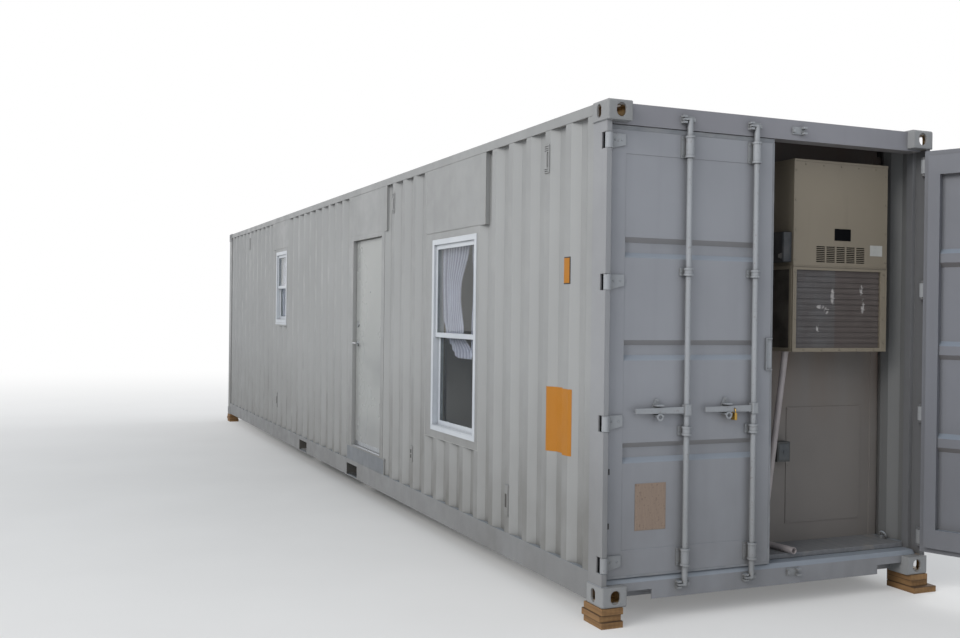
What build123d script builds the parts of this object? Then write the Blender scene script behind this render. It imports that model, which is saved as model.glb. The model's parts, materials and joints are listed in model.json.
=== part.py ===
from build123d import *
import math
import os

# A forty-foot high-cube shipping container fitted out as a cabin.
# Millimetres, +Z up. The long side with the door and windows faces -Y and the cargo doors are at +X.
# Distances "along" run from the cargo door end, "in" from the outer corner of the -Y side,
# and heights from the underside of the corner castings, until place() sets the whole on its blocks.

# Container envelope
length = 12192
width = 2438
height = 2896

# Corner castings
casting_length = 178
casting_width = 162
casting_height = 118
casting_slot_wall = 28
casting_face_wall = 16
casting_back_wall = 12
casting_corner = 14
slot_length = 124
slot_width = 63.5
slot_from_end = 103.25
slot_from_side = 89.5
face_hole_height = 79.5
end_hole_width = 63.5
side_hole_width = 51

# Timber blocks under the corners
board_thickness = 38
board_width = 140
board_length = 210
boards_per_stack = 3
board_stagger = 9
long_board_overhang = 45
long_board_shift = 30

# Frame
side_inset = 8
post_front_inset = 20
post_plate = 10
post_lip_edge = 40
post_seat_depth = 125
post_reach = 49
closed_post_wall = 6
closed_post_lip = 40
header_inset = 60
header_depth = 105
header_wall = 5
header_drop = 131
header_underside = height - header_drop
roof_line_drop = 6
top_rail_size = 60
top_rail_wall = 3
bottom_rail_underside = 14
bottom_rail_height = 162
bottom_rail_flange = 48
bottom_rail_lower_flange = 30
bottom_rail_wall = 4.5
sill_top = 146
sill_underside = 14
sill_wall = 6
sill_slope_height = 26
sill_slope_depth = 20
sill_notch_width = 205
sill_notch_height = 58

# Floor
floor_top = bottom_rail_underside + bottom_rail_height
floor_thickness = 28
floor_side_gap = 57
cross_member_height = 122
cross_member_flange = 45
cross_member_wall = 4
cross_member_pitch = 420
pocket_pitch = 2050
pocket_width = 360
pocket_height = 115
pocket_underside = 22
pocket_plate = 6

# Corrugated sheets
sheet = 2
wall_inset = 10
wall_depth = 36
wall_outer_flat = 72
wall_slope = 68
wall_inner_flat = 70
end_wall_depth = 45.6
end_wall_flat = 110
end_wall_slope = 18
end_wall_inner_flat = 104
roof_depth = 20
roof_flat = 91
roof_slope = 13.5
roof_side_margin = 75
roof_lap = 20
roof_end_margin = 190

# Lining
lining_inset = 98
lining = 12
ceiling_drop = 96
ceiling_underside = height - ceiling_drop

# Windows
near_window_along = 1900
near_window_width = 914
near_window_sill = 730
near_window_height = 1524
far_window_along = 8060
far_window_width = 610
far_window_sill = 1520
far_window_height = 914
window_proud = 6
window_face = 42
sash_face = 34
sash_thickness = 28
sash_setback = 18
sash_gap = 2
meeting_rail = 34
glass = 6

# Flat steel panels round the windows
panel_sheet = 3
panel_flange = 4
near_panel_left = 150
near_panel_right = 50
near_panel_below = 60
near_panel_above = 56
near_head_overhang = 97
near_head_overrun = 18
far_panel_margin = 40
far_head_overhang = 52
far_head_overrun = 220

# Personnel door
door_along = 4165
door_width = 914
door_height = 2032
door_thickness = 45
door_gap = 5
door_setback = 40
door_frame_face = 88
door_frame_head = 40
door_frame_proud = 4
door_stop = 15
threshold_top = 335
threshold_thickness = 12
head_panel_right = 45
head_panel_left = 91
step_panel_right = 32
step_panel_left = 78
door_pin_radius = 3.5
door_barrel_radius = 7
door_barrel_height = 100
door_pin_proud = 8
door_pin_in = 3
door_hinge_from_edge = 220
door_plate = 3
bearing_gap = 0.4
lever_height = 1017
deadbolt_rise = 192
lock_backset = 70
rose_radius = 29
rose_thickness = 9
lever_length = 112
lever_radius = 9
lever_standoff = 46
spindle_radius = 7

# Cargo leaves
leaf_inset = 68
leaf_thickness = 50
leaf_flange = 14
leaf_lip = 36
leaf_edge = 50
leaf_centre_gap = 12
leaf_clearance = 5
stile_width = 112
leaf_top_rail = 160
leaf_bottom_rail = 158
leaf_panel_setback = 2
band_depth = 28
band_height = 118
band_slope = 30
band_count = 3
band_pitch = 595
band_centre = 1466
pin_inset = 40
pin_in = 32
pin_radius = 9
knuckle_radius = 22
blade_thickness = 10
blade_height = 90
blade_reach = 122
blade_taper = 26
lug_thickness = 14
lug_gap = 2
hinge_from_sill = 94
hinge_from_header = 100
hinge_count = 4
notch_depth = 80
right_leaf_open = 113

# Lock bars
bar_radius = 17
bar_inset = 36
bar_distances = (577, 1058)
bar_below_sill = 64
bar_above_header = 65
tongue_length = 48
tongue_width = 26
tongue_thickness = 12
tongue_gap = 5
keeper_gap = 8
keeper_jaw = 12
keeper_width = 26
keeper_stop_width = 16
keeper_base = 6
keeper_front = 26
stop_front = 41
handle_height = 1115
handle_length = 352
handle_depth = 10
handle_tip_width = 28
handle_root_width = 40
hub_size = 42
hub_height = 64
hub_corner = 5
seat_gap = 0.3
guide_radius = 25
guide_collar_radius = 29
guide_collar = 12
guide_plate = 8
guide_half_width = 44
low_guide_rise = 50
low_guide_length = 102
handle_guide_drop = 150
handle_guide_length = 53
upper_guide_drop = 860
upper_guide_length = 46
top_guide_drop = 166
top_guide_length = 128
hasp_distance = 190
hasp_width = 50
hasp_point_width = 18
hasp_point_rise = 68
hasp_shoulder_rise = 30
hasp_front = 20
hasp_jaw = 8
hasp_gap = 6
ring_drop = 38
ring_radius = 22
ring_hole = 12
ring_thickness = 6

# Latch box on the free stile
latch_width = 46
latch_height = 196
latch_middle = 1440
latch_depth = 16
latch_from_edge = 6
latch_wall = 5

# Padlock on the inner handle
padlock_distance = 146
padlock_width = 40
padlock_height = 42
padlock_depth = 18
padlock_corner = 3
shackle_radius = 3.5
shackle_reach = 13
shackle_rise = 12
shackle_hole = 6

# Plant bay
bulkhead_inset = 450
bulkhead_thickness = 60
unit_inset = 205
unit_from = 1482
unit_width = 771
unit_height = 1232
unit_header_gap = 85
coil_section = 550
unit_top = header_underside - unit_header_gap
unit_underside = unit_top - unit_height
unit_split = unit_underside + coil_section
coil_left_margin = 28
coil_right_margin = 50
coil_low_margin = 24
coil_setback = 8
coil_slat_pitch = 34
coil_slat = 4
coil_slat_depth = 14
louvre_from = 183
louvre_width = 70
louvre_pitch = 82
louvre_columns = 5
louvre_rows = 9
louvre_row_pitch = 12
louvre_slot = 7
louvre_low = 28
louvre_depth = 25
service_panel_from = 1640
service_panel_width = 630
service_panel_low = 300
service_panel_high = 1070
service_panel_proud = 5
box_from = 1519
box_width = 100
box_low = 720
box_high = 850
box_depth = 70
switch_runs = (225, 400)
switch_low = 2022
switch_high = 2213
switch_depth = 62
switch_corner = 6
pipe_radius = 21
pipe_bore = 18
pipe_bend = 60
pipe_top_along = 300
pipe_top_in = 1504
pipe_foot_along = 405
pipe_foot_in = 1420
pipe_end_clearance = 10
pipe_end_in = 1455

# Small fittings
vent_alongs = (770, 3828, 10500)
vent_width = 66
vent_drop = 93
vent_height = 175
vent_proud = 9
vent_top_slots = 3
vent_foot_slots = 2
vent_slot_pitch = 13
vent_slot_height = 5
vent_slot_depth = 7
vent_slot_margin = 7
vent_side_slot = 24
inlet_width = 64
inlet_proud = 6
inlet_corner = 6
lid_margin = 6
lid_proud = 3
inlet_places = ((1326, 290, 218), (3272, 402, 138), (8554, 414, 190))
lashing_along = 300
lashing_in = 92
lashing_ring_radius = 24
lashing_wire_radius = 6
lashing_lean = 62
lashing_staple = 22
rod_radius = 8
rod_in = 92
rod_below_head = 15
rod_cup_radius = 12
rod_cup = 8
curtain_thickness = 20
curtain_side_gap = 20
near_curtain_drop = 890
far_curtain_drop = 800
curtain_ease = 0.5


def along(distance):
    return length / 2 - distance


def inward(distance):
    return -width / 2 + distance


def slab(x, y, z):
    size = (abs(x[1] - x[0]), abs(y[1] - y[0]), abs(z[1] - z[0]))
    corner = (min(x), min(y), min(z))
    return Pos(*corner) * Box(*size, align=(Align.MIN, Align.MIN, Align.MIN))


def block(runs, ins, z):
    """A box given by its distances along, its distances in and its heights."""
    return slab([along(run) for run in runs], [inward(step) for step in ins], z)


def upright(outline, z):
    """An outline of (along, in) points raised between two heights."""
    points = [(along(run), inward(step)) for run, step in outline]
    face = make_face(Polyline(*points, close=True))
    return Pos(0, 0, z[0]) * extrude(face, amount=z[1] - z[0], dir=(0, 0, 1))


def lengthwise(outline, x):
    """An outline of (y, z) points run along X."""
    face = Plane.YZ * make_face(Polyline(*outline, close=True))
    return Pos(x[0], 0, 0) * extrude(face, amount=x[1] - x[0], dir=(1, 0, 0))


def crosswise(outline, y):
    """An outline of (x, z) points run along Y."""
    face = Plane.XZ * make_face(Polyline(*outline, close=True))
    return Pos(0, y[0], 0) * extrude(face, amount=y[1] - y[0], dir=(0, 1, 0))


def peg(run, step, radius, z):
    """A vertical round bar at a distance along and in."""
    centre = Pos(along(run), inward(step), z[0])
    return centre * Cylinder(radius, z[1] - z[0], align=(Align.CENTER, Align.CENTER, Align.MIN))


def across(shape):
    return mirror(shape, about=Plane.XZ)


def end_for_end(shape):
    return mirror(shape, about=Plane.YZ)


def four_corners(shape):
    pair = [shape, across(shape)]
    return pair + [end_for_end(one) for one in pair]


def fuse(shapes):
    first, *rest = shapes
    return first.fuse(*rest).clean() if rest else first


def wave(start, end, flat, slope, inner_flat, depth, thickness):
    """The section of a corrugated sheet as (distance, depth) points, clipped at its end."""
    outer = [(start, 0)]
    here = start
    while here < end:
        for step, level in ((flat, 0), (slope, depth), (inner_flat, depth), (slope, 0)):
            here = here + step
            outer.append((here, level))
    inner = [(distance, level + thickness) for distance, level in reversed(outer)]
    return outer + inner


def edges_at(body, corner):
    """The three edges that meet at a corner of a block."""
    return [
        edge
        for edge in body.edges()
        if any((vertex.center() - corner).length < 1 for vertex in edge.vertices())
    ]


def casting(slot_on_top):
    floor_wall = casting_face_wall if slot_on_top else casting_slot_wall
    roof_wall = casting_slot_wall if slot_on_top else casting_face_wall
    body = block((0, casting_length), (0, casting_width), (0, casting_height))
    outermost = Vector(along(0), inward(0), casting_height if slot_on_top else 0)
    body = fillet(edges_at(body, outermost), casting_corner)
    body = body - block(
        (casting_face_wall, casting_length - casting_back_wall),
        (casting_face_wall, casting_width - casting_back_wall),
        (floor_wall, casting_height - roof_wall),
    )
    middle = casting_height / 2
    slot_x = along(slot_from_end)
    slot_y = inward(slot_from_side)
    slot = SlotOverall(slot_length, slot_width)
    slot_low = casting_height - roof_wall if slot_on_top else 0
    slot_deep = roof_wall if slot_on_top else floor_wall
    body = body - Pos(slot_x, slot_y, slot_low) * extrude(slot, amount=slot_deep)
    end_hole = Plane.YZ * SlotOverall(face_hole_height, end_hole_width, rotation=90)
    end_at = Pos(along(casting_face_wall), slot_y, middle)
    body = body - end_at * extrude(end_hole, amount=casting_face_wall, dir=(1, 0, 0))
    side_hole = Plane.XZ * SlotOverall(face_hole_height, side_hole_width, rotation=90)
    side_at = Pos(slot_x, inward(0), middle)
    body = body - side_at * extrude(side_hole, amount=casting_face_wall, dir=(0, 1, 0))
    return body


def bottom_castings():
    return four_corners(casting(False))


def top_castings():
    raised = Pos(0, 0, height - casting_height) * casting(True)
    return four_corners(raised)


def corner_blocks():
    boards = []
    for layer in range(boards_per_stack):
        shift = board_stagger * (layer % 2)
        top = -layer * board_thickness
        boards.append(
            block(
                (shift, board_length + shift),
                (-shift, board_width - shift),
                (top - board_thickness, top),
            )
        )
    stacks = four_corners(fuse(boards))
    stacks[1] = fuse([stacks[1], long_board()])
    return stacks


def long_board():
    """The lowest board under the open leaf's corner, which sticks out past the side."""
    lowest = -boards_per_stack * board_thickness
    runs = (-long_board_shift, board_length - long_board_shift)
    ins = (width - board_width, width + long_board_overhang)
    return block(runs, ins, (lowest, lowest + board_thickness))


def hinge_heights():
    low = sill_top + hinge_from_sill
    high = header_underside - hinge_from_header
    return [low + (high - low) * number / (hinge_count - 1) for number in range(hinge_count)]


def hinge_lug(low):
    span = (low, low + lug_thickness)
    rounded = peg(pin_inset, pin_in, knuckle_radius - lug_gap, span)
    half = knuckle_radius - lug_gap
    web = block((pin_inset - half, pin_inset + half), (side_inset, pin_in), span)
    foot = block((post_front_inset, notch_depth), (side_inset, side_inset + post_plate), span)
    return [rounded, web, foot]


def door_end_post():
    low = casting_height
    high = height - casting_height
    front = post_front_inset
    outline = [
        (front, side_inset),
        (front, post_lip_edge),
        (front + post_plate, post_lip_edge),
        (front + post_plate, side_inset + post_plate),
        (post_seat_depth, side_inset + post_plate),
        (post_seat_depth, post_reach),
        (casting_length, post_reach),
        (casting_length, side_inset),
    ]
    post = upright(outline, (low, high))
    lugs = []
    half_gap = blade_height / 2 + lug_gap
    for middle in hinge_heights():
        reach = half_gap + lug_thickness
        post = post - block(
            (0, notch_depth), (0, post_lip_edge + lug_gap), (middle - reach, middle + reach)
        )
        lugs += hinge_lug(middle + half_gap)
        lugs += hinge_lug(middle - reach)
        lugs.append(peg(pin_inset, pin_in, pin_radius, (middle - reach, middle + reach)))
    return fuse([post] + lugs)


def door_end_posts():
    post = door_end_post()
    return [post, across(post)]


def closed_end_posts():
    wall = closed_post_wall
    deep, wide = casting_length, casting_width
    lip = side_inset + closed_post_lip
    outline = [
        (deep, side_inset),
        (side_inset, side_inset),
        (side_inset, wide),
        (lip, wide),
        (deep, lip),
    ]
    span = (casting_height, height - casting_height)
    hollow = [
        (deep - closed_post_lip, side_inset + wall),
        (side_inset + wall, side_inset + wall),
        (side_inset + wall, wide - closed_post_lip),
    ]
    post = end_for_end(upright(outline, span) - upright(hollow, span))
    return [post, across(post)]


def door_end_header():
    top = height - roof_line_drop - sheet
    runs = (header_inset, header_inset + header_depth)
    inner_runs = (runs[0] + header_wall, runs[1] - header_wall)
    box = block(runs, (casting_width, width - casting_width), (header_underside, top))
    low_strip = block(
        runs, (post_reach, width - post_reach), (header_underside, height - casting_height)
    )
    hollow = block(
        inner_runs, (0, width), (header_underside + header_wall, top - header_wall)
    )
    return [fuse([box, low_strip]) - hollow + end_caps(runs)]


def end_caps(runs):
    """Plates that close the header's ends below the castings."""
    span = (header_underside, height - casting_height)
    caps = []
    for start in (post_reach, width - post_reach - header_wall):
        caps.append(block(runs, (start, start + header_wall), span))
    return fuse(caps)


def sill_outline(runs, low, high):
    """The sill's section in (x, z), with the slope along its upper front edge."""
    return [
        (along(runs[0]), low),
        (along(runs[0]), high - sill_slope_height),
        (along(runs[0] + sill_slope_depth), high),
        (along(runs[1]), high),
        (along(runs[1]), low),
    ]


def door_end_sill():
    runs = (header_inset, casting_length - casting_back_wall)
    inner_runs = (runs[0] + sill_wall, runs[1] - sill_wall)
    between_castings = (inward(casting_width), inward(width - casting_width))
    between_posts = (inward(post_reach), inward(width - post_reach))
    body = crosswise(sill_outline(runs, sill_underside, sill_top), between_castings)
    upper = crosswise(sill_outline(runs, casting_height, sill_top), between_posts)
    body = fuse([body, upper])
    hollow = sill_outline(inner_runs, 0, sill_top - sill_wall)
    body = body - crosswise(hollow, between_castings)
    notch_top = sill_underside + sill_notch_height
    notch = block(
        (0, header_inset + sill_wall),
        (casting_width, casting_width + sill_notch_width),
        (0, notch_top),
    )
    return [body - notch - across(notch)]


def closed_end_rails():
    ins = (casting_width, width - casting_width)
    low = block((side_inset, side_inset + top_rail_size), ins, (sill_underside, floor_top))
    top = height - roof_line_drop - sheet
    high = block((side_inset, side_inset + top_rail_size), ins, (top - top_rail_size, top))
    return [end_for_end(low), end_for_end(high)]


def top_side_rails():
    top = height - roof_line_drop - sheet
    low = top - top_rail_size
    left = inward(side_inset)
    right = inward(side_inset + top_rail_size)
    outer = [(left, low), (right, low), (right, top), (left, top)]
    wall = top_rail_wall
    inner = [
        (left + wall, low + wall),
        (right - wall, low + wall),
        (right - wall, top - wall),
        (left + wall, top - wall),
    ]
    span = (along(length - casting_length), along(casting_length))
    rail = lengthwise(outer, span) - lengthwise(inner, span)
    return [rail, across(rail)]


def pocket_runs():
    """The two fork pockets as (low, high) distances along."""
    middles = (length / 2 - pocket_pitch / 2, length / 2 + pocket_pitch / 2)
    return [(middle - pocket_width / 2, middle + pocket_width / 2) for middle in middles]


def bottom_side_rails():
    low = bottom_rail_underside
    top = low + bottom_rail_height
    face = inward(side_inset)
    web = face + bottom_rail_wall
    outline = [
        (face, low),
        (face + bottom_rail_lower_flange, low),
        (face + bottom_rail_lower_flange, low + bottom_rail_wall),
        (web, low + bottom_rail_wall),
        (web, top - bottom_rail_wall),
        (face + bottom_rail_flange, top - bottom_rail_wall),
        (face + bottom_rail_flange, top),
        (face, top),
    ]
    span = (along(length - casting_length), along(casting_length))
    rail = lengthwise(outline, span)
    for runs in pocket_runs():
        opening = (pocket_underside, pocket_underside + pocket_height)
        rail = rail - block(runs, (0, bottom_rail_flange + side_inset), opening)
    return [rail, across(rail)]


def cross_member(run, facing):
    """A channel across the frame; facing is the way its open side looks along the frame."""
    top = floor_top - floor_thickness
    low = top - cross_member_height
    back = along(run)
    wall = cross_member_wall
    outline = [
        (back, low),
        (back + facing * cross_member_flange, low),
        (back + facing * cross_member_flange, low + wall),
        (back + facing * wall, low + wall),
        (back + facing * wall, top - wall),
        (back + facing * cross_member_flange, top - wall),
        (back + facing * cross_member_flange, top),
        (back, top),
    ]
    reach = width / 2 - side_inset - bottom_rail_wall
    return crosswise(outline, (-reach, reach))


def spaced(start, end):
    """Even stops between two distances, no further apart than the cross member pitch."""
    count = math.ceil((end - start) / cross_member_pitch)
    return [start + (end - start) * number / count for number in range(count + 1)]


def cross_members():
    first, second = pocket_runs()
    before = spaced(casting_length + cross_member_flange, first[0])
    between = spaced(first[1], second[0] - cross_member_flange)
    after = spaced(second[1], length - casting_length - cross_member_flange)
    members = [cross_member(run, 1) for run in before]
    members += [cross_member(run, -1) for run in between[:-1]]
    members.append(cross_member(second[0], 1))
    members += [cross_member(run, -1) for run in after]
    return members


def fork_pocket_plates():
    reach = width / 2 - side_inset - bottom_rail_wall
    low = pocket_underside + pocket_height
    plates = []
    for near, far in pocket_runs():
        plates.append(
            slab((along(far), along(near)), (-reach, reach), (low, low + pocket_plate))
        )
    return plates


def floor_deck():
    runs = (casting_length - casting_back_wall, length - casting_length)
    ins = (floor_side_gap, width - floor_side_gap)
    return [block(runs, ins, (floor_top - floor_thickness, floor_top))]


def roof():
    top = height - roof_line_drop
    runs = (header_inset + header_wall, length - side_inset - roof_lap)
    ins = (roof_side_margin, width - roof_side_margin)
    section = wave(
        roof_end_margin,
        length - roof_end_margin,
        roof_flat,
        roof_slope,
        roof_flat,
        roof_depth,
        sheet,
    )
    outline = [(along(distance), top - depth) for distance, depth in section]
    clip = block((roof_end_margin, length - roof_end_margin), ins, (0, height))
    waves = crosswise(outline, (inward(ins[0]), inward(ins[1]))) & clip
    skin = (top - sheet, top)
    between_castings = (casting_length, length - casting_length)
    margins = []
    for low in (side_inset + roof_lap, ins[1] - sheet):
        high = low + ins[0] + sheet - side_inset - roof_lap
        margins.append(block(between_castings, (low, high), skin))
    end_strips = (
        (runs[0], roof_end_margin + sheet),
        (length - roof_end_margin - sheet, runs[1]),
    )
    for strip in end_strips:
        margins.append(block(strip, (casting_width, width - casting_width), skin))
    closers = []
    wave_runs = (roof_end_margin, length - roof_end_margin)
    for start in (ins[0], ins[1] - sheet):
        closers.append(block(wave_runs, (start, start + sheet), (top - roof_depth - sheet, top)))
    for start in (roof_end_margin, length - roof_end_margin - sheet):
        closers.append(block((start, start + sheet), ins, (top - roof_depth - sheet, top)))
    return [fuse([waves] + margins + closers)]


def wall_span():
    return (casting_length, length - casting_length)


def wall_heights():
    low = bottom_rail_underside + bottom_rail_height
    high = height - roof_line_drop - sheet - top_rail_size
    return (low, high)


def side_wall():
    start, end = wall_span()
    section = wave(
        start, end, wall_outer_flat, wall_slope, wall_inner_flat, wall_depth, sheet
    )
    outline = [(distance, wall_inset + depth) for distance, depth in section]
    clip = block((start, end), (0, casting_width), (0, height))
    return upright(outline, wall_heights()) & clip


def near_window():
    return (near_window_along, near_window_width, near_window_sill, near_window_height)


def far_window():
    return (far_window_along, far_window_width, far_window_sill, far_window_height)


def near_panel_runs():
    return (
        near_window_along - near_panel_right,
        near_window_along + near_window_width + near_panel_left,
    )


def near_panel_heights():
    return (
        near_window_sill - near_panel_below,
        near_window_sill + near_window_height + near_panel_above,
    )


def far_panel_runs():
    return (
        far_window_along - far_panel_margin,
        far_window_along + far_window_width + far_panel_margin,
    )


def far_panel_heights():
    return (
        far_window_sill - far_panel_margin,
        far_window_sill + far_window_height + far_panel_margin,
    )


def head_panel_runs(runs, overhang, overrun):
    return (runs[0] - overhang, runs[1] + overrun)


def door_frame_runs():
    outer = door_gap + door_frame_face
    return (door_along - outer, door_along + door_width + outer)


def door_frame_top():
    return threshold_top + door_gap + door_height + door_gap + door_frame_head


def door_head_runs():
    low, high = door_frame_runs()
    return (low - head_panel_right, high + head_panel_left)


def door_step_runs():
    low, high = door_frame_runs()
    return (low - step_panel_right, high + step_panel_left)


def panel_openings():
    """Every stretch of the front wall that a flat panel, window or door takes, as (along, height) spans."""
    low, high = wall_heights()
    near_head = head_panel_runs(near_panel_runs(), near_head_overhang, near_head_overrun)
    far_head = head_panel_runs(far_panel_runs(), far_head_overhang, far_head_overrun)
    return [
        (near_panel_runs(), near_panel_heights()),
        (near_head, (near_panel_heights()[1], high)),
        (far_panel_runs(), far_panel_heights()),
        (far_head, (far_panel_heights()[1], high)),
        (door_frame_runs(), (threshold_top - threshold_thickness, door_frame_top())),
        (door_head_runs(), (door_frame_top(), high)),
        (door_step_runs(), (low, threshold_top - threshold_thickness)),
    ]


def front_wall():
    wall = side_wall()
    for runs, heights in panel_openings():
        wall = wall - block(runs, (0, casting_width), heights)
    start, end = wall_span()
    near, far = near_panel_runs(), far_panel_runs()
    door = door_frame_runs()
    stops = [start, near[0], near[1], door[0], door[1], far[0], far[1], end]
    pieces = []
    for low, high in zip(stops, stops[1:]):
        piece = wall & block((low, high), (0, casting_width), (0, height))
        pieces += piece.solids()
    return pieces


def back_wall():
    return [across(side_wall())]


def end_wall():
    span = (casting_width, width - casting_width)
    section = wave(
        span[0],
        span[1],
        end_wall_flat,
        end_wall_slope,
        end_wall_inner_flat,
        end_wall_depth,
        sheet,
    )
    outline = [(side_inset + depth, distance) for distance, depth in section]
    heights = (floor_top, height - roof_line_drop - sheet - top_rail_size)
    clip = block((0, casting_width), span, heights)
    return [end_for_end(upright(outline, heights) & clip)]


def flat_panel(runs, heights):
    """A flat sheet in the wall's outer face, with a flange round it as deep as the corrugations."""
    faces = (wall_inset, wall_inset + panel_sheet)
    depth = (wall_inset, wall_inset + wall_depth + sheet)
    inset = panel_flange
    rim = block(runs, depth, heights) - block(
        (runs[0] + inset, runs[1] - inset),
        depth,
        (heights[0] + inset, heights[1] - inset),
    )
    return fuse([rim, block(runs, faces, heights)])


def window_opening(window):
    start, size, sill, rise = window
    return block((start, start + size), (0, casting_width), (sill, sill + rise))


def window_panel(window, runs, heights, head_runs):
    start, size, sill, rise = window
    top = wall_heights()[1]
    lower = flat_panel(runs, heights)
    depth = (wall_inset, wall_inset + wall_depth + sheet)
    collar = block(
        (start - panel_flange, start + size + panel_flange),
        depth,
        (sill - panel_flange, sill + rise + panel_flange),
    )
    head = flat_panel(head_runs, (heights[1], top))
    return [fuse([lower, collar, head]) - window_opening(window)]


def near_window_panel():
    head = head_panel_runs(near_panel_runs(), near_head_overhang, near_head_overrun)
    return window_panel(near_window(), near_panel_runs(), near_panel_heights(), head)


def far_window_panel():
    head = head_panel_runs(far_panel_runs(), far_head_overhang, far_head_overrun)
    return window_panel(far_window(), far_panel_runs(), far_panel_heights(), head)


def door_panels():
    low, high = wall_heights()
    head = flat_panel(door_head_runs(), (door_frame_top(), high))
    step = flat_panel(door_step_runs(), (low, threshold_top - threshold_thickness))
    return [head, step]


def ring(outer_runs, outer_heights, face, ins):
    outer = block(outer_runs, ins, outer_heights)
    return outer - block(
        (outer_runs[0] + face, outer_runs[1] - face),
        ins,
        (outer_heights[0] + face, outer_heights[1] - face),
    )


def sash_ins():
    front = wall_inset - window_proud + sash_setback
    upper = (front, front + sash_thickness)
    lower = (upper[1] + sash_gap, upper[1] + sash_gap + sash_thickness)
    return upper, lower


def window_frame(window):
    start, size, sill, rise = window
    runs, heights = (start, start + size), (sill, sill + rise)
    frame = ring(runs, heights, window_face, (wall_inset - window_proud, lining_inset))
    inner_runs = (runs[0] + window_face, runs[1] - window_face)
    low, high = heights[0] + window_face, heights[1] - window_face
    middle = (low + high) / 2
    upper_ins, lower_ins = sash_ins()
    upper = ring(inner_runs, (middle - meeting_rail / 2, high), sash_face, upper_ins)
    lower = ring(inner_runs, (low, middle + meeting_rail / 2), sash_face, lower_ins)
    rail = (middle - meeting_rail / 2, middle + meeting_rail / 2)
    bridge = block(inner_runs, (upper_ins[1], lower_ins[0]), rail)
    return fuse([frame, upper, lower, bridge])


def window_panes(window):
    start, size, sill, rise = window
    runs = (start + window_face + sash_face, start + size - window_face - sash_face)
    low = sill + window_face
    high = sill + rise - window_face
    middle = (low + high) / 2
    upper_ins, lower_ins = sash_ins()
    panes = []
    for ins, heights in (
        (upper_ins, (middle - meeting_rail / 2 + sash_face, high - sash_face)),
        (lower_ins, (low + sash_face, middle + meeting_rail / 2 - sash_face)),
    ):
        centre = (ins[0] + ins[1]) / 2
        panes.append(block(runs, (centre - glass / 2, centre + glass / 2), heights))
    return panes


def near_window_frame():
    return [window_frame(near_window())]


def far_window_frame():
    return [window_frame(far_window())]


def window_glass():
    return window_panes(near_window()) + window_panes(far_window())


def lining_ins():
    return (lining_inset, lining_inset + lining)


def inner_opening(window):
    """The clear opening inside a window frame, as (along, height) spans."""
    run, size, sill, rise = window
    return (
        (run + window_face, run + size - window_face),
        (sill + window_face, sill + rise - window_face),
    )


def lining_span():
    return (bulkhead_inset + bulkhead_thickness, length - casting_length - lining)


def front_lining():
    """The front boards, split at the sides of each opening."""
    start, end = lining_span()
    openings = [
        inner_opening(near_window()),
        (door_frame_runs(), (floor_top, door_frame_top())),
        inner_opening(far_window()),
    ]
    boards = block((start, end), lining_ins(), (floor_top, ceiling_underside))
    stops = [start]
    for runs, spans in openings:
        boards = boards - block(runs, (0, casting_width), spans)
        stops += runs
    stops.append(end)
    pieces = []
    for low, high in zip(stops, stops[1:]):
        piece = boards & block((low, high), (0, casting_width), (0, height))
        pieces += piece.solids()
    return pieces


def inner_lining():
    """The wall boards on all four sides and the ceiling."""
    start, end = lining_span()
    heights = (floor_top, ceiling_underside)
    between = (lining_inset, width - lining_inset)
    back = across(block((start, end), lining_ins(), heights))
    far = block((end, end + lining), between, heights)
    ceiling = block((start, end + lining), between, (ceiling_underside, ceiling_underside + lining))
    return front_lining() + [back, far, ceiling]


def door_frame():
    runs = door_frame_runs()
    low = threshold_top - threshold_thickness
    outer = (low, door_frame_top())
    ins = (wall_inset - door_frame_proud, lining_inset + lining)
    stop_from = door_leaf_ins()[1] + door_gap
    clear = (door_along - door_gap, door_along + door_width + door_gap)
    clear_top = threshold_top + door_gap + door_height + door_gap
    frame = block(runs, ins, outer)
    frame = frame - block(clear, (ins[0], stop_from), (threshold_top, clear_top))
    narrow = (clear[0] + door_stop, clear[1] - door_stop)
    frame = frame - block(narrow, (stop_from, ins[1]), (threshold_top, clear_top - door_stop))
    barrels = []
    for low_barrel in door_hinge_lows():
        barrels += door_fixed_barrel(low_barrel)
    return [fuse([frame] + barrels)]


def door_leaf_ins():
    front = wall_inset - door_frame_proud + door_setback
    return (front, front + door_thickness)


def door_pin():
    return (door_along + door_pin_in, door_leaf_ins()[0] - door_pin_proud)


def door_hinge_lows():
    base = threshold_top + door_gap
    first = base + door_hinge_from_edge - door_barrel_height / 2
    last = base + door_height - door_hinge_from_edge - door_barrel_height / 2
    return [first, (first + last) / 2, last]


def barrel_thirds(low):
    third = door_barrel_height / 3
    return [(low + third * number, low + third * (number + 1)) for number in range(3)]


def door_fixed_barrel(low):
    run, step = door_pin()
    bottom, middle, top = barrel_thirds(low)
    pieces = [peg(run, step, door_pin_radius, (low, low + door_barrel_height))]
    for span in (bottom, top):
        pieces.append(peg(run, step, door_barrel_radius, span))
        half = door_plate / 2
        pieces.append(block((door_along - door_gap, run), (step - half, step + half), span))
    return pieces


def door_moving_barrel(low):
    run, step = door_pin()
    bottom, middle, top = barrel_thirds(low)
    span = (middle[0] + bearing_gap, middle[1] - bearing_gap)
    barrel = peg(run, step, door_barrel_radius, span)
    web = block((run, run + door_barrel_radius), (step, door_leaf_ins()[0]), span)
    bore = peg(run, step, door_pin_radius + bearing_gap, span)
    return fuse([barrel, web]) - bore


def lock_run():
    return door_along + door_width - lock_backset


def lock_bore(height_above, radius, ins):
    """A round bar across the leaf at the lock's backset."""
    base = threshold_top + door_gap + height_above
    turned = Rot(-90, 0, 0) * Cylinder(
        radius, ins[1] - ins[0], align=(Align.CENTER, Align.CENTER, Align.MIN)
    )
    return Pos(along(lock_run()), inward(ins[0]), base) * turned


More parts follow.
